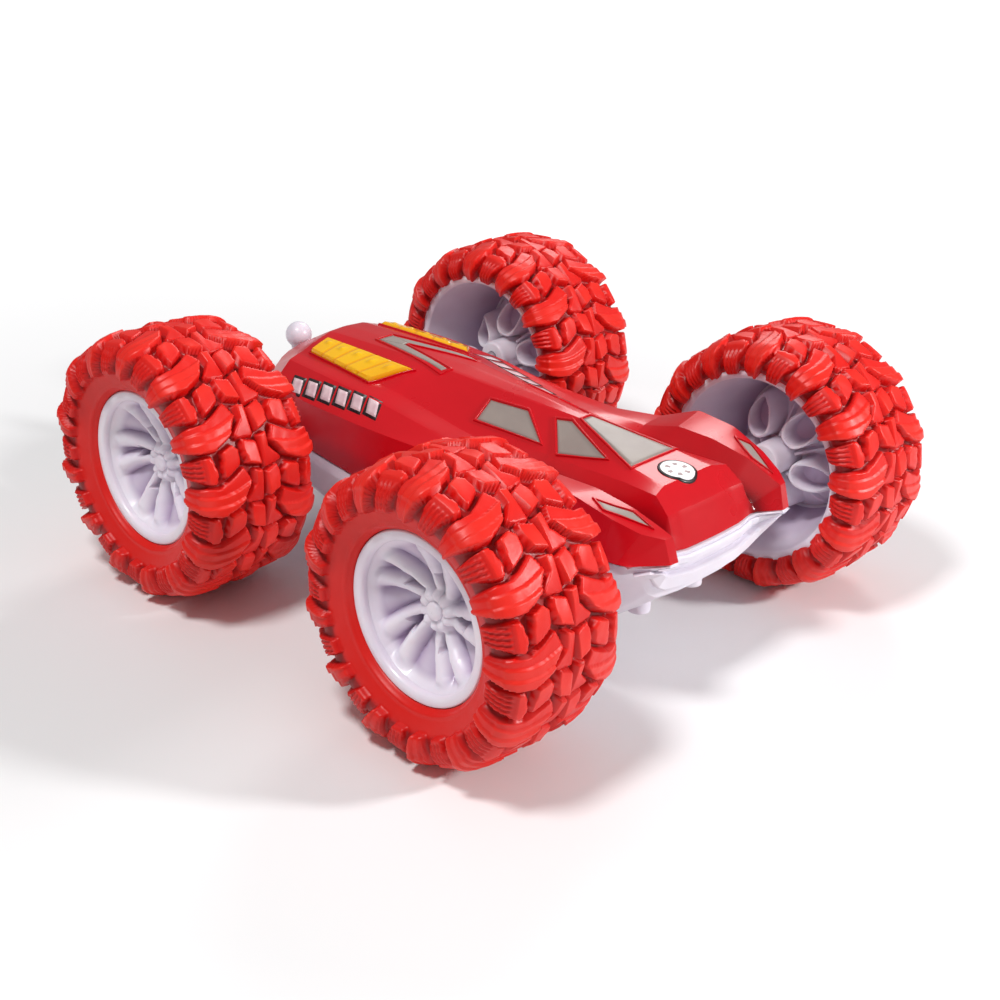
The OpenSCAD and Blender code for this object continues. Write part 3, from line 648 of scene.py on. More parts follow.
def side_marks():
    """Six slanted bars on each side, each a pale bar on a dark one; body units."""
    count, pitch = 6, 0.275
    width, height, slant, border = 0.185, 0.165, 0.12, 0.035
    # side, x of the first bar, its |y|, and the drop in |y| from bar to bar
    rows = ((1, -1.15, 0.95, 0.033), (-1, -2.42, 1.36, 0.022))
    # border round the bar, material, lift in mm
    layers = ((border, MATS["mark_black"], 0.05), (0.0, MATS["mark_pink"], 0.10))
    marks = []
    for side, first_x, first_y, drop in rows:
        for k in range(count):
            x = first_x + k * pitch
            y = first_y - drop * k
            for grow, material, lift in layers:
                low, high = y - height / 2 - grow, y + height / 2 + grow
                outline = [(x - grow - slant * 0.3, low),
                           (x + width + grow - slant * 0.3, low),
                           (x + width + grow + slant * 0.7, high),
                           (x - grow + slant * 0.7, high)]
                outline = [(px, py * side) for px, py in outline]
                marks.append(patch("mark", outline, 5, 5, level(lift), material, depth=0.1))
    return merge("side_marks", marks)


def hood_roundel():
    """White disc with a dark edge and a ring of six red segments; body units."""
    centre_x, radius, sunk = 3.0, 0.235, 0.3
    rings, steps = 14, 96

    def face_material(r, turn):
        if r > 0.86:
            return 1
        return 2 if 0.34 < r < 0.62 and 0.2 < (turn * 6) % 1.0 < 0.62 else 0

    def ring_points(r, lift):
        angles = [2 * math.pi * j / steps for j in range(steps)]
        spots = [shell_at(centre_x + r * math.cos(a), r * math.sin(a)) for a in angles]
        return [point + normal * lift for point, normal in spots]

    points, faces, face_materials = [], [], []
    for i in range(rings + 1):
        r = radius * i / rings
        points += ring_points(r, 0.30 - 0.16 * max(0, (r / radius - 0.85) / 0.15))
    base = len(points)
    points += ring_points(radius, -sunk)
    for i in range(rings):
        for j in range(steps):
            after = (j + 1) % steps
            if i == 0:
                faces.append([0, steps + j, steps + after])
            else:
                faces.append([i * steps + j, (i + 1) * steps + j,
                              (i + 1) * steps + after, i * steps + after])
            face_materials.append(face_material((i + 0.5) / rings, (j + 0.5) / steps))
    for j in range(steps):
        after = (j + 1) % steps
        faces.append([rings * steps + j, base + j, base + after, rings * steps + after])
        face_materials.append(1)
    faces.append([base + j for j in range(steps)][::-1])
    face_materials.append(0)
    materials = [MATS["badge_white"], MATS["mark_black"], RED]
    return fix_normals(mesh_obj("hood_roundel", points, faces, materials, face_materials),
                       weld=True)


window_set = framed_panels("window_set", (WINDSCREEN, FRONT_WINDOW, mirrored(FRONT_WINDOW),
                                          REAR_WINDOW, mirrored(REAR_WINDOW)), 24, 14)
headlight_set = framed_panels("headlight_set", (HEADLIGHT, mirrored(HEADLIGHT)), 16, 10,
                              width=0.6, height=0.38)
vent_set = tail_vent()
beads.append(bead(VENT_BEAD, width=0.55, height=0.34))
deck_left = deck_lamp("deck_lamp_left", DECK_LAMP)
deck_right = deck_lamp("deck_lamp_right", mirrored(DECK_LAMP)[::-1])
for outline in (DECK_LAMP, mirrored(DECK_LAMP)):
    beads.append(bead(outline, width=0.5, height=0.5))
marks_set = side_marks()
badge = hood_roundel()

# ------------------------------------------------------------------ upper shell


def keyhole(x, radius=5.2, drop=13):
    """Round-topped notch outline in xz, open below the axle."""
    arc = [(x + radius * math.cos(a), AXLE_Z + radius * math.sin(a))
           for a in np.linspace(math.pi, 0, 25)]
    return [(x - radius, AXLE_Z - drop)] + arc + [(x + radius, AXLE_Z - drop)]


def finish_shell(shell):
    """Gives the shell its wall and axle notches, and joins the beads to it."""
    thicken(shell, 1.2)
    cut(shell, [prism("notch", keyhole(x), side * 20, side * 45, "y") for x, side in AXLE_ENDS])
    shade_smooth(shell)
    shell_points = len(shell.data.vertices)
    shell = merge("upper_shell", [shell] + beads)
    sharpen(shell, 7)
    # only the shell's own edges stay sharp, not the beads'
    edges = shell.data.edges
    ends = np.empty(len(edges) * 2, np.int32)
    edges.foreach_get("vertices", ends)
    sharp = np.empty(len(edges), bool)
    edges.foreach_get("use_edge_sharp", sharp)
    sharp &= ends.reshape(-1, 2).max(1) < shell_points
    edges.foreach_set("use_edge_sharp", sharp)
    weigh_normals(shell)
    return shell


def paint_groove_shade(shell):
    """Paints shade into the groove between hood and fenders and along the waist, by lowering the shade
    attribute.
    """
    points = coords(shell.data) / MM / BODY_UNIT
    x, y, z = points[:, 0], np.abs(points[:, 1]), points[:, 2] - AXLE_Z / BODY_UNIT
    groove_y = np.interp(x, [1.2, 1.6, 2.15, 2.7, 3.6], [0.87, 0.84, 0.82, 0.80, 0.80])
    groove = np.exp(-((y - groove_y) / 0.075) ** 2) * smoothstep((x - 1.2) / 0.5)
    waist = 0.55 * np.exp(-((y - 1.54) / 0.06) ** 2) * smoothstep((0.22 - z) / 0.3)
    values = (1.0 - 0.85 * np.maximum(groove, waist)).astype(np.float32)
    shell.data.attributes["painted_shade_mask"].data.foreach_set("value", values)


shell = finish_shell(shell)
paint_groove_shade(shell)
for o, replaced in ((shell, "body_shell"), (window_set, "window_panels"),
                    (headlight_set, "headlight_panels"), (vent_set, "rear_vent_panel"),
                    (deck_left, "deck_light_left"), (deck_right, "deck_light_right"),
                    (badge, "hood_badge")):
    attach(o, "root")
    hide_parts(replaced)
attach(marks_set, "root")

# ------------------------------------------------------------------ lower tub


def box(x0, x1, half_y):
    return [(x0, -half_y), (x1, -half_y), (x1, half_y), (x0, half_y)]


def circle(cx, cy, radius, n=32):
    return [(cx + radius * math.cos(2 * math.pi * k / n),
             cy + radius * math.sin(2 * math.pi * k / n)) for k in range(n)]


def tub_moulding():
    """Tub skin with its wall, two openings in the floor, and pillar and axle holes."""
    fixed = {("across", i): 0.93 for i in (12, 13, 14)}
    fixed.update({("along", i, line): 0.7 for i in (12, 13, 14) for line in (2, 3, 4)})
    tub = skin("tub_moulding", TUB, up=False, line_creases={3: 0.6, 5: 0.6},
               folds=([3, 7, 14, 30, 60], [0.0, 0.62, 0.78, 0.86, 0.9]), material=WHITE,
               fixed=fixed)
    thicken(tub, 1.4)
    cutters = [prism("opening", box(11.8, 43.2, 13.6), AXLE_Z - 23, AXLE_Z - 15, "z"),
               prism("slot", box(-50.6, -42.4, 2.1), AXLE_Z - 24, AXLE_Z - 13.6, "z")]
    cutters += [prism("hole", circle(x, y, 2.05), AXLE_Z - 28, AXLE_Z - 4, "z")
                for x, y in PILLARS]
    cutters += [prism("hole", circle(x, AXLE_Z, 3.05), side * 20, side * 33, "y")
                for x, side in AXLE_ENDS]
    cut(tub, cutters)
    shade_smooth(tub)
    return tub


def axle_mount(x, side):
    """Axle boss, the pad under it and a tapered rib."""
    boss = revolve("boss", rounded([(24.6, 3.05), (24.6, 5.0), (38.2, 5.0), (39.0, 4.6),
                                    (39.0, 3.05)], 0.3), 64, WHITE)
    move(boss, dx=x, dz=AXLE_Z, side=side)
    fix_normals(boss)
    # half width and depth under the axle of the pad's left edge, from the top down
    edge = ((5, 0.6), (3.9, 3.2))
    outline = [(x - 5, AXLE_Z - 9), (x + 5, AXLE_Z - 9)]
    outline += [(x + half, AXLE_Z - down) for half, down in edge]
    outline += [(x - half, AXLE_Z - down) for half, down in edge[::-1]]
    pad = fix_normals(prism("pad", outline, side * 24.8, side * 29.0, "y"))
    bevel(pad, width=0.35, segments=3)
    rib = prism("rib", [(x - .6, AXLE_Z - 4.6), (x + .6, AXLE_Z - 4.6), (x + .6, AXLE_Z - 8.6),
                        (x - .6, AXLE_Z - 8.6)], side * 28.5, side * 33.5, "y")
    # the rib's lower edge rises at its outer end
    for v in rib.data.vertices:
        if abs(v.co.y) > 0.033 and v.co.z < (AXLE_Z - 6) * MM:
            v.co.z = (AXLE_Z - 5.2) * MM
    return [boss, pad, fix_normals(rib)]


def pillar(x, y):
    """Upright tube with a wide bore below and a narrow one above."""
    wide, narrow, outer = 2.07, 1.1, 2.6
    low, step, top = AXLE_Z - 15.4, AXLE_Z - 9.0, AXLE_Z - 1.3
    outline = [(low, wide), (low, outer), (top, outer), (top, narrow), (step, narrow),
               (step, wide)]
    o = revolve("pillar", rounded(outline, 0.15), 40, WHITE, axis="z")
    move(o, dx=x, dy=y)
    return o


def nose_band(low, high, out):
    """Band across the nose between two fractions of its height, standing out by out."""
    # fraction of the nose's height, distance out from its face in body units
    section = ((low, -0.07), (low, out * 0.7), (low + 0.035, out), (high - 0.035, out),
               (high, out * 0.7), (high, -0.07))
    points, faces = [], []
    for j in range(-5, 6):
        a, side = abs(j), (1 if j >= 0 else -1)
        for t, reach in section:
            q = NOSE_LOW[a] + (NOSE_TOP[a] - NOSE_LOW[a]) * t + NOSE_OUT[a] * reach
            q = q * BODY_UNIT
            points.append([q[0], side * q[1], q[2] + AXLE_Z])
    for i in range(10):
        for k in range(6):
            after = (k + 1) % 6
            faces.append([i * 6 + k, i * 6 + after, i * 6 + 6 + after, i * 6 + 6 + k])
    faces += [list(range(6)), [60 + k for k in range(6)][::-1]]
    o = fix_normals(mesh_obj("nose_band", points, faces, WHITE))
    bevel(o, width=0.15, segments=2, degrees=20)
    return o


def tail_bracket():
    outline = [(-68.2, -2.5), (-63.2, -3.4), (-63.2, 3.4), (-68.2, 2.5)]
    o = fix_normals(prism("bracket", outline, AXLE_Z - 5, AXLE_Z - 0.6, "z"))
    bevel(o, width=0.4, segments=3)
    return o


def lower_tub():
    parts = [tub_moulding()]
    for x, side in AXLE_ENDS:
        parts += axle_mount(x, side)
    parts += [pillar(x, y) for x, y in PILLARS]
    parts += [nose_band(0.22, 0.58, out=0.10), nose_band(0.74, 0.92, out=0.05), tail_bracket()]
    tub = merge("lower_tub", parts)
    sharpen(tub, 14)
    weigh_normals(tub)
    return tub


def tail_post():
    """Stepped post behind the tail with a ball on top."""
    ball_radius, ball_z = 3.4, AXLE_Z + 9.72
    stem = [(-7.6, 0.02), (-7.6, 2.3), (-7.2, 2.7), (0.1, 2.7), (0.6, 2.3), (0.9, 1.95),
            (5.6, 1.85)]
    outline = [(AXLE_Z + z, r) for z, r in stem]
    outline += [(ball_z + ball_radius * math.sin(a), max(0.02, ball_radius * math.cos(a)))
                for a in np.linspace(-0.95, math.pi / 2, 22)]
    post = revolve("tail_post", outline, 64, WHITE, axis="z", sharp=50)
    move(post, dx=-3.94 * BODY_UNIT)
    return post


tub = lower_tub()
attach(tub, "root")
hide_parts("chassis_tub")
post = tail_post()
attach(post, "root")
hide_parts("rear_post")

# ------------------------------------------------------------------ tyre
# A wheel is built about the y axis with its outer side towards +Y.
CIRCUMFERENCE = 2 * math.pi * AXLE_Z
PITCH = CIRCUMFERENCE / 13   # mm; the tread repeats 13 times round the tyre


def lug(x, s, outline):
    """1 inside an (x, s) outline, falling to 0 over the 0.3 mm inside its edge."""
    corners = np.array(outline, float)
    if signed_area(corners) < 0:
        corners = corners[::-1]
    inside = np.full(x.shape, 1e9)
    for start, end in zip(corners, np.roll(corners, -1, 0)):
        e = (end - start) / np.linalg.norm(end - start)
        inside = np.minimum(inside, -((x - start[0]) * e[1] - (s - start[1]) * e[0]))
    return smoothstep(inside / 0.3)


def tread(a, s):
    """Lug height at arc length a round the crown and s across from it, all in mm."""
    sa = np.abs(s)
    a = a + np.where(s >= 0, 0.0, PITCH / 2)   # the inner half is half a pitch out of step
    height = np.zeros_like(a)
    bow = 1.6 * np.sin(np.clip((sa - 4.0) / 14.0, 0, 1) * math.pi)
    for shift in (-2, -1, 0, 1, 2):
        x = (a % PITCH) + shift * PITCH
        xb = x + bow
        # long claw: a stepped shoulder block that narrows to a hooked end near the crown
        top = 2.55 - 0.42 * smoothstep((xb - 2.5) / 0.2) - 0.42 * smoothstep((xb - 4.8) / 0.2)
        long_shoulder = (top - 0.35 * smoothstep((sa - 14.6) / 0.25)) * lug(
            xb, sa, [(1.7, 18.8), (0.2, 13.2), (0.1, 9.6), (7.0, 9.2), (7.1, 13.2), (5.4, 18.8)])
        long_hook = top * lug(
            xb, sa, [(0.2, 10.6), (1.5, 5.9), (5.0, 3.1), (8.9, 4.6), (7.2, 10.2)])
        long_hook = np.where(sa < 10.6, long_hook, 0)
        # short claw with a comb on its shoulder, and a loose block nearer the crown
        teeth = 0.5 - 0.5 * np.tanh(6 * np.sin(2 * math.pi * xb / 1.25))
        comb = (0.42 * teeth * smoothstep((sa - 13.2) / 0.3)
                * smoothstep((17.4 - sa) / 0.3))
        short_shoulder = (1.9 - 0.4 * smoothstep((sa - 12.6) / 0.25)) * lug(
            xb, sa, [(9.2, 18.7), (7.8, 13.0), (7.7, 11.2), (10.2, 10.5), (14.5, 11.2),
                     (14.5, 13.0), (13.1, 18.7)])
        short_shoulder = short_shoulder - comb * (short_shoulder > 0.5)
        loose_block = (1.5 + 0.11 * (xb - 8)) * lug(
            xb, sa, [(8.0, 10.1), (9.6, 5.3), (13.0, 4.9), (15.0, 6.4), (14.5, 10.5),
                     (10.2, 9.8)])
        # crown blocks: a wedge, and an L of two outlines
        wedge = (2.5 - 0.12 * (x - 7.6)) * lug(
            x, sa, [(7.6, .25), (13.5, .25), (14.9, 3.9), (12.0, 4.3), (9.0, 3.8)])
        bar = lug(x, sa, [(-.8, .25), (6.9, .25), (7.5, 2.5), (3.9, 2.5), (-.6, 2.5)])
        leg = lug(x, sa, [(-.8, .25), (4.0, .25), (3.9, 2.6), (.9, 5.3), (-.2, 4.8)])
        angle_block = (1.35 + 0.13 * x) * np.maximum(bar, leg)
        for part in (long_hook, loose_block, wedge, angle_block, long_shoulder, short_shoulder):
            height = np.maximum(height, part)
    return height


# (y, radius) in mm: carcass from the outer bead over the crown to the inner bead
CARCASS = np.array([
    (11.15, 18.12), (11.6, 18.45), (12.2, 19.2), (13.0, 20.6), (13.8, 22.4), (14.3, 24.2),
    (14.1, 25.8), (13.2, 27.2), (11.6, 28.0), (8.8, 28.5), (4.7, 28.8), (0, 28.9),
    (-4.7, 28.8), (-8.8, 28.5), (-11.6, 28.0), (-13.2, 27.2), (-14.1, 26.2), (-14.5, 25.2),
    (-14.3, 24.4), (-13.8, 23.7), (-13.3, 23.3), (-13.2, 23.07)])
# and back through the bore, seated on the rim
BORE = np.array([(-12.9, 22.99), (-12.15, 22.97), (-11.4, 21.75), (-3, 20.42), (4, 19.2),
                 (10.6, 18.12)])


def tyre():
    steps = 640
    lengths = np.linalg.norm(np.diff(CARCASS, axis=0), axis=1)
    run = np.concatenate([[0], np.cumsum(lengths)])
    t = np.linspace(0, run[-1], 132)
    y, r = np.interp(t, run, CARCASS[:, 0]), np.interp(t, run, CARCASS[:, 1])
    for _ in range(3):
        for line in (y, r):
            line[1:-1] = (line[:-2] + 2 * line[1:-1] + line[2:]) / 4
    across = t[np.argmin(np.abs(y))] - t
    slope_y, slope_r = np.gradient(y), np.gradient(r)
    slope = np.hypot(slope_y, slope_r)
    normal_y, normal_r = slope_r / slope, -slope_y / slope
    flip = np.sign(normal_r[len(normal_r) // 2])
    normal_y, normal_r = normal_y * flip, normal_r * flip
    turn = np.arange(steps) * 2 * math.pi / steps
    a, s = np.meshgrid(turn / (2 * math.pi) * CIRCUMFERENCE, across, indexing="ij")
    height = tread(a, s) * smoothstep((19.0 - np.abs(s)) / 1.2)
    # slow mould waviness and small dents so that the lugs don't look machined
    wave = (0.05 * np.sin(3 * turn + 0.4)[:, None]
            + 0.04 * np.sin(a * 0.9 + s * 1.3) * np.cos(s * 0.8 - a * 0.35))
    # ridge round the rim on the outer sidewall
    ridge = 0.28 * np.exp(-((s - (s.max() - 1.6)) / 0.45) ** 2)
    lift = height + wave * (height > 0.2) + ridge
    radius = r[None, :] + normal_r[None, :] * lift
    axial = y[None, :] + normal_y[None, :] * lift
    # painted shade: darkest down between the lugs and lightest on their tops; the sidewall is painted a
    # middle tone and the bore dark
    painted_shade = 0.04 + 0.80 * np.clip(height / 2.1, 0, 1)
    painted_shade = np.maximum(painted_shade, 0.62 * smoothstep((np.abs(s) - 17.4) / 1.4))
    radius = np.concatenate([radius, np.tile(BORE[:, 1], (steps, 1))], 1)
    axial = np.concatenate([axial, np.tile(BORE[:, 0], (steps, 1))], 1)
    painted_shade = np.concatenate([painted_shade, np.full((steps, len(BORE)), 0.3)], 1)
    points = np.stack([radius * np.cos(turn)[:, None], axial, radius * np.sin(turn)[:, None]],
                      -1).reshape(-1, 3)
    return fix_normals(mesh_obj("tyre_src", points, closed_faces(*radius.shape),
                                MATS["tyre_red"], painted_shade=painted_shade.ravel()))


# ------------------------------------------------------------------ rim
SPOKES = 5


def dish():
    """Rim face with five pairs of swirling ribs; heights are y in mm over radius and angle."""
    r, turn = np.meshgrid(np.concatenate([np.linspace(0.0, 4.4, 9), np.linspace(4.8, 16.0, 41)]),
                          np.arange(400) * 2 * math.pi / 400, indexing="ij")
    swirl = (r - 4) / 12 * math.radians(16)

    def over_r(radii, values):
        return np.interp(r, radii, values)

    def spoke(k):
        return 2 * math.pi * k / SPOKES

    def arc_from(angle):
        """Signed arc length from an angle."""
        return ((turn - angle + math.pi) % (2 * math.pi) - math.pi) * r

    base = over_r([0, 2.9, 3.6, 4.6, 6, 8, 10.5, 13, 14.8, 15.6, 16.0],
                  [5.6, 5.5, 5.1, 3.0, 2.7, 3.2, 4.3, 6.0, 7.8, 9.2, 9.8])
    ribs, petal, hole, cup, hollow, webs = (np.zeros_like(r) for _ in range(6))
    half_angle = np.radians(over_r([3, 6, 10, 15], [17, 14.5, 12.5, 13.0]))
    rib_width = over_r([3, 5, 9, 15], [1.3, 1.6, 2.15, 2.5])
    rib_height = over_r([1.6, 3.2, 6, 10, 13.4, 15.4], [0.0, 1.6, 3.5, 3.5, 2.4, 0.2])
    petal_width = over_r([3, 6, 11, 15.5], [0.6, 1.2, 2.6, 3.4])
    petal_height = over_r([3.4, 6, 9, 13, 15.4], [0, .7, 1.1, 1.0, 0])
    hole_width = over_r([4.6, 8.6], [0.2, 1.7])
    for k in range(SPOKES):
        for side in (-1, 1):
            arc = arc_from(spoke(k) + side * half_angle + swirl)
            ribs = np.maximum(ribs, np.clip(1 - (arc / rib_width) ** 2, 0, 1) ** 0.8
                              * rib_height)
        # the valley between two pairs is filled to a broad fluted petal
        arc = arc_from(spoke(k + 0.5) + swirl)
        petal = np.maximum(petal, np.clip(1 - (arc / petal_width) ** 2, 0, 1) * petal_height)
        # three-cornered recess between the ribs of each pair
        arc = arc_from(spoke(k) + swirl)
        inside = np.minimum(hole_width - np.abs(arc), np.minimum(r - 4.6, 8.6 - r))
        hole = np.maximum(hole, smoothstep(inside / 0.25))
        # rounded pockets on the back, and the webs between them
        out = r - 10.1
        arc = arc_from(spoke(k + 0.5))
        d = np.sqrt((out / 5.3) ** 2 + (arc / (4.2 + 0.13 * out)) ** 2)
        pocket = smoothstep((1.04 - d) / 0.14) * (0.35 + 0.65 * smoothstep((d - 0.62) / 0.16))
        cup = np.maximum(cup, pocket)
        hollow = np.maximum(hollow, smoothstep((0.74 - d) / 0.12))
        webs = np.maximum(webs, smoothstep((0.55 - np.abs(arc_from(spoke(k)))) / 0.25))
    ribs = np.maximum(ribs, petal)
    front = base + ribs * (1 - hole)
    front = front * (1 - hole) + (base - 1.0) * hole
    back = over_r([0, 4.4, 6, 8, 10.5, 13, 14.8, 15.6, 16.0],
                  [1.0, 1.0, 1.2, 1.8, 2.9, 4.6, 6.4, 7.8, 8.4])
    depth = (cup * over_r([4.4, 6, 9, 13, 15.6], [5.5, 6.4, 6.6, 6.2, 4.0])
             + webs * over_r([4.2, 8, 15.6], [4.5, 2.0, 1.0]) * (1 - hollow))
    back = back - depth * smoothstep((r - 4.3) / 0.6)
    # painted shade between the ribs and in the holes, and in the pockets behind
    crest = np.maximum(over_r([2.8, 4.2, 6, 10, 13.4, 15.4], [0.5, 2.0, 3.1, 3.1, 2.2, 0.5]), 0.5)
    valley = (1 - np.clip(ribs / crest, 0, 1)) ** 1.3
    front_shade = np.clip(1.0 - 0.80 * valley * smoothstep((r - 4.2) / 1.0)
                           * smoothstep((15.2 - r) / 2.0) - 0.95 * hole, 0, 1)
    back_shade = np.clip(1.0 - 0.45 * hollow - 0.25 * (1 - cup) * smoothstep((r - 5) / 2), 0, 1)
    points = [np.stack([r * np.cos(turn), y, r * np.sin(turn)], -1).reshape(-1, 3)
              for y in (front, back)]
    index = np.arange(r.size).reshape(r.shape)
    face = quads(index[:-1], index[1:])
    edge = index[-1]
    wall = np.stack([edge, edge + r.size, np.roll(edge, -1) + r.size, np.roll(edge, -1)], -1)
    o = mesh_obj("dish", np.concatenate(points),
                 np.concatenate([face, face[:, ::-1] + r.size, wall]), RIM_WHITE,
                 painted_shade=np.concatenate([front_shade.ravel(), back_shade.ravel()]))
    return fix_normals(o, weld=True, dissolve=True)


def barrel():
    """Conical barrel that carries the tyre; its painted shade is deepest inside, near its outer end."""
    outline = rounded([(10.9, 18.0), (-11.45, 21.6), (-12.2, 22.9), (-12.8, 23.45),
                       (-13.3, 23.1), (-13.4, 22.2), (-12.9, 21.2), (7.8, 16.7), (9.3, 15.75),
                       (10.5, 15.55), (11.15, 15.9), (11.4, 16.5), (11.4, 17.3),
                       (11.3, 17.8)], 0.3)
    y, r = outline.T
    painted_shade = np.where(y > 8.0, 1.0, np.interp(y, [-12.8, 8], [0.95, 0.45]))
    painted_shade = np.where(r > 21.9, 1.0, painted_shade)
    return revolve("barrel", outline, 192, RIM_WHITE, painted_shade=painted_shade, sharp=50)


def rim():
    pieces = [dish(), barrel()]
    pieces.append(revolve("hub", rounded([(-9.0, 1.56), (-9.0, 3.9), (-8.2, 4.2), (3.0, 4.4),
                                          (3.0, 1.56)], 0.3), 64, RIM_WHITE, sharp=50))
    o = merge("rim_src", pieces)
    sharpen(o, 55)
    return o


def hub_cap():
    outline = rounded([(5.3, 0.02), (5.3, 1.9), (6.5, 1.9), (6.95, 1.5), (7.1, 0.8),
                       (7.12, 0.02)], 0.25)
    return revolve("cap_src", outline, 48, RIM_WHITE, painted_shade=np.ones(len(outline)), sharp=60)


# ------------------------------------------------------------------ wheels


def wheel_copy(source, name, x, left, turn):
    """Copy turned about its axis and set in place, mirrored for the right side."""
    mesh = source.data.copy()
    mesh.name = name
    co = coords(mesh)
    c, s = math.cos(turn), math.sin(turn)
    new_x, new_z = co[:, 0] * c - co[:, 2] * s, co[:, 0] * s + co[:, 2] * c
    new_y = co[:, 1] + WHEEL_Y * MM
    if not left:
        new_y = -new_y
    placed = np.stack([new_x + x * MM, new_y, new_z + AXLE_Z * MM], -1)
    mesh.vertices.foreach_set("co", placed.astype(np.float32).ravel())
    if not left:
        mesh.flip_normals()
    o = bpy.data.objects.new(name, mesh)
    COLLECTION.objects.link(o)
    mesh.update()
    return o


# prefix, moving body, x of the axle (mm), left side, turn (radians)
WHEELS = (("lf", "left_front_wheel", AXLE_X, True, 0.35),
          ("lr", "left_rear_wheel", -AXLE_X, True, 0.9),
          ("rf", "right_front_wheel", AXLE_X, False, 0.0),
          ("rr", "right_rear_wheel", -AXLE_X, False, 0.5))
# source, ending of the new name, ending of the name it replaces
WHEEL_PARTS = ((tyre(), "_tyre_tread", "_tyre"), (rim(), "_rim_moulding", "_rim"),
               (hub_cap(), "_hub_cap", "_hub_screw"))
for prefix, body, x, left, turn in WHEELS:
    for source, ending, replaced in WHEEL_PARTS:
        o = wheel_copy(source, prefix + ending, x, left, turn)
        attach(o, body)
        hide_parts(prefix + replaced)
for source, _, _ in WHEEL_PARTS:
    bpy.data.objects.remove(source)

# ------------------------------------------------------------------ wires inside


def wire(path, material):
    """Round wire along a Catmull-Rom curve through the path."""
    samples, sides, radius = 40, 8, 0.45
    last = len(path) - 1
    line = []
    for q in np.linspace(0, 1, samples) * last:
        i = min(int(q), last - 1)
        f = q - i
        p0, p1, p2, p3 = path[max(i - 1, 0)], path[i], path[i + 1], path[min(i + 2, last)]
        line.append(0.5 * ((2 * p1) + (p2 - p0) * f + (2 * p0 - 5 * p1 + 4 * p2 - p3) * f * f
                           + (-p0 + 3 * p1 - 3 * p2 + p3) * f ** 3))
    line = np.array(line)
    tangents = np.gradient(line, axis=0)
    tangents /= np.linalg.norm(tangents, axis=1)[:, None]
    points = []
    for point, tangent in zip(line, tangents):
        a = np.cross(tangent, [0.13, 0.21, 0.97])
        a /= np.linalg.norm(a)
        b = np.cross(tangent, a)
        for j in range(sides):
            angle = 2 * math.pi * j / sides
            points.append(point + radius * (a * math.cos(angle) + b * math.sin(angle)))
    faces = [[i * sides + j, i * sides + (j + 1) % sides,
              (i + 1) * sides + (j + 1) % sides, (i + 1) * sides + j]
             for i in range(samples - 1) for j in range(sides)]
    faces += [list(range(sides))[::-1], [(samples - 1) * sides + j for j in range(sides)]]
    return fix_normals(mesh_obj("wire", points, faces, material))


# Wire paths on the left side: x, y and z from the axles, in mm
SHORT_WIRE = [(-12, 10, -7.4), (-8, 8, -3), (-4, 3, -5), (-3, .6, -8.6)]
MIDDLE_WIRE = [(-12, 8, -7.4), (-6, 6, -2), (1, 2.4, -4.6), (3, .6, -8.6)]
LONG_WIRE = [(-12, 4, -7.4), (-4, 5, -2.4), (8, 9, -3), (14, 12.9, -8.4)]
WIRES = ((SHORT_WIRE, 1, "wire_red"), (MIDDLE_WIRE, 1, "wire_black"),
         (SHORT_WIRE, -1, "wire_red"), (MIDDLE_WIRE, -1, "wire_black"),
         (LONG_WIRE, 1, "wire_red"), (LONG_WIRE, -1, "wire_black"))
loom = merge("wiring_loom", [wire(np.array(path) * [1, side, 1] + [0, 0, AXLE_Z], MATS[colour])
                             for path, side, colour in WIRES])
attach(loom, "root")

# ------------------------------------------------------------------ carried-over CAD nodes
slots = {s["node"]: s["material_slot"] for s in frame["record"]["subparts"]}
for name, o in frame["nodes"].items():
    o.data.materials.clear()
    o.data.materials.append(MATS.get(slots.get(name, "plate_grey"), MATS["plate_grey"]))

# ------------------------------------------------------------------ stage


def make_floor():
    """Pale floor that glows to white away from the car, for the camera only."""
    mesh = bpy.data.meshes.new("floor")
    bm = bmesh.new()
    bmesh.ops.create_grid(bm, x_segments=2, y_segments=2, size=3.0)
    bm.to_mesh(mesh)
    bm.free()
    floor = bpy.data.objects.new("floor", mesh)
    floor.location.z = -0.00035
    COLLECTION.objects.link(floor)
    tree, shader = new_material("floor_pale")
    colour = ramp(tree, noise(tree, 3.0), [(0.3, (0.86, 0.86, 0.87, 1)),
                                           (0.7, (0.9, 0.9, 0.9, 1))])
    place = node(tree, "NewGeometry").outputs["Position"]
    distance = node(tree, "VectorMath", {0: place}, operation="LENGTH").outputs["Value"]
    fade = map_range(tree, distance, from_min=0.14, from_max=0.60, to_max=0.85)
    camera_ray = node(tree, "LightPath").outputs["Is Camera Ray"]
    glow = node(tree, "Math", {0: fade, 1: camera_ray}, operation="MULTIPLY").outputs[0]
    plug(tree, shader, {"Base Color": colour, "Roughness": 0.9, "Specular IOR Level": 0.1,
                        "Emission Color": (1, 1, 1, 1), "Emission Strength": glow})
    mesh.materials.append(MATS["floor_pale"])
    return floor


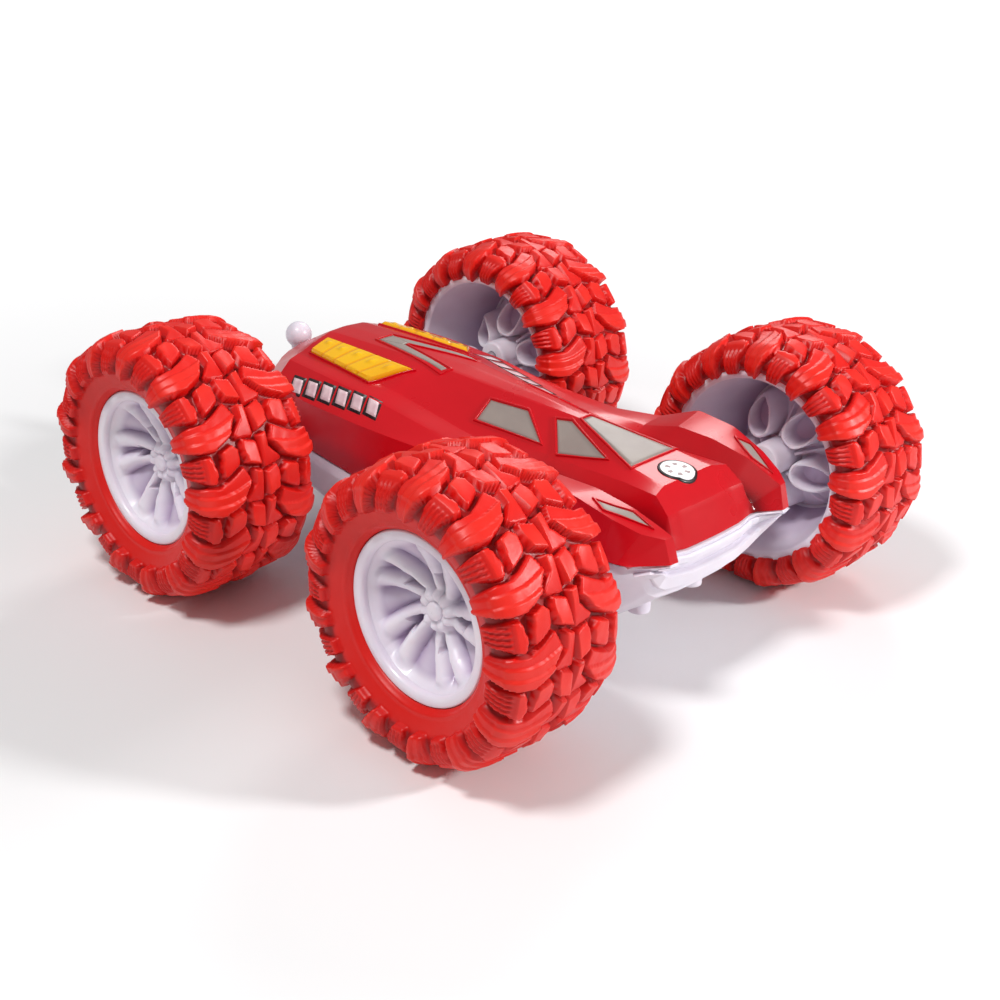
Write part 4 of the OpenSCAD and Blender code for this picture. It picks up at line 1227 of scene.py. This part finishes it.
def make_world():
    """White to the camera, dim as a light."""
    world = bpy.data.worlds.new("studio")
    bpy.context.scene.world = world
    world.use_nodes = True
    tree = world.node_tree
    camera_ray = node(tree, "LightPath").outputs["Is Camera Ray"]
    plug(tree, tree.nodes["Background"], {
        "Color": (1, 1, 1, 1),
        "Strength": map_range(tree, camera_ray, to_min=0.24, to_max=1.0)})


def area(name, location, target, size, power):
    """Disk light aimed at a target; metres and watts."""
    light = bpy.data.lights.new(name, "AREA")
    light.shape = "DISK"
    light.size = size
    light.energy = power
    o = bpy.data.objects.new(name, light)
    COLLECTION.objects.link(o)
    o.location = location
    aim = Vector(target) - Vector(location)
    o.rotation_euler = aim.to_track_quat("-Z", "Y").to_euler()


def make_camera():
    """Camera to the front right of the car and above it."""
    azimuth, elevation, roll = (math.radians(a) for a in (43.067, 25.732, 2.73))
    place = np.array([12.826, -13.511, 8.31])   # body units, from the axles' height
    back = np.array([math.sin(azimuth) * math.cos(elevation),
                     -math.cos(azimuth) * math.cos(elevation), math.sin(elevation)])
    right = np.array([math.cos(azimuth), math.sin(azimuth), 0.0])
    rolled = np.array([[math.cos(roll), math.sin(roll), 0],
                       [-math.sin(roll), math.cos(roll), 0], [0, 0, 1]])
    axes = rolled @ np.stack([right, np.cross(back, right), back])
    pose = np.eye(4)
    pose[:3, :3] = axes.T
    pose[:3, 3] = place * BODY_UNIT * MM + np.array([0, 0, AXLE_Z * MM])
    data = bpy.data.cameras.new("photo_view")
    camera = bpy.data.objects.new("photo_view", data)
    COLLECTION.objects.link(camera)
    camera.matrix_world = Matrix(pose.tolist())
    data.sensor_width = 36
    data.lens = 1.56 * 36
    data.clip_start = 0.01
    bpy.context.scene.camera = camera


make_floor()
make_world()
bpy.context.scene.view_settings.view_transform = "Standard"
area("key", location=(0.02, -0.30, 0.62), target=(0, 0, 0.02), size=0.14, power=2.5)
area("side", location=(0.50, 0.26, 0.34), target=(0, 0, 0.03), size=0.07, power=2.6)
area("back", location=(-0.30, 0.50, 0.45), target=(0, 0, 0.03), size=0.30, power=1.3)
make_camera()
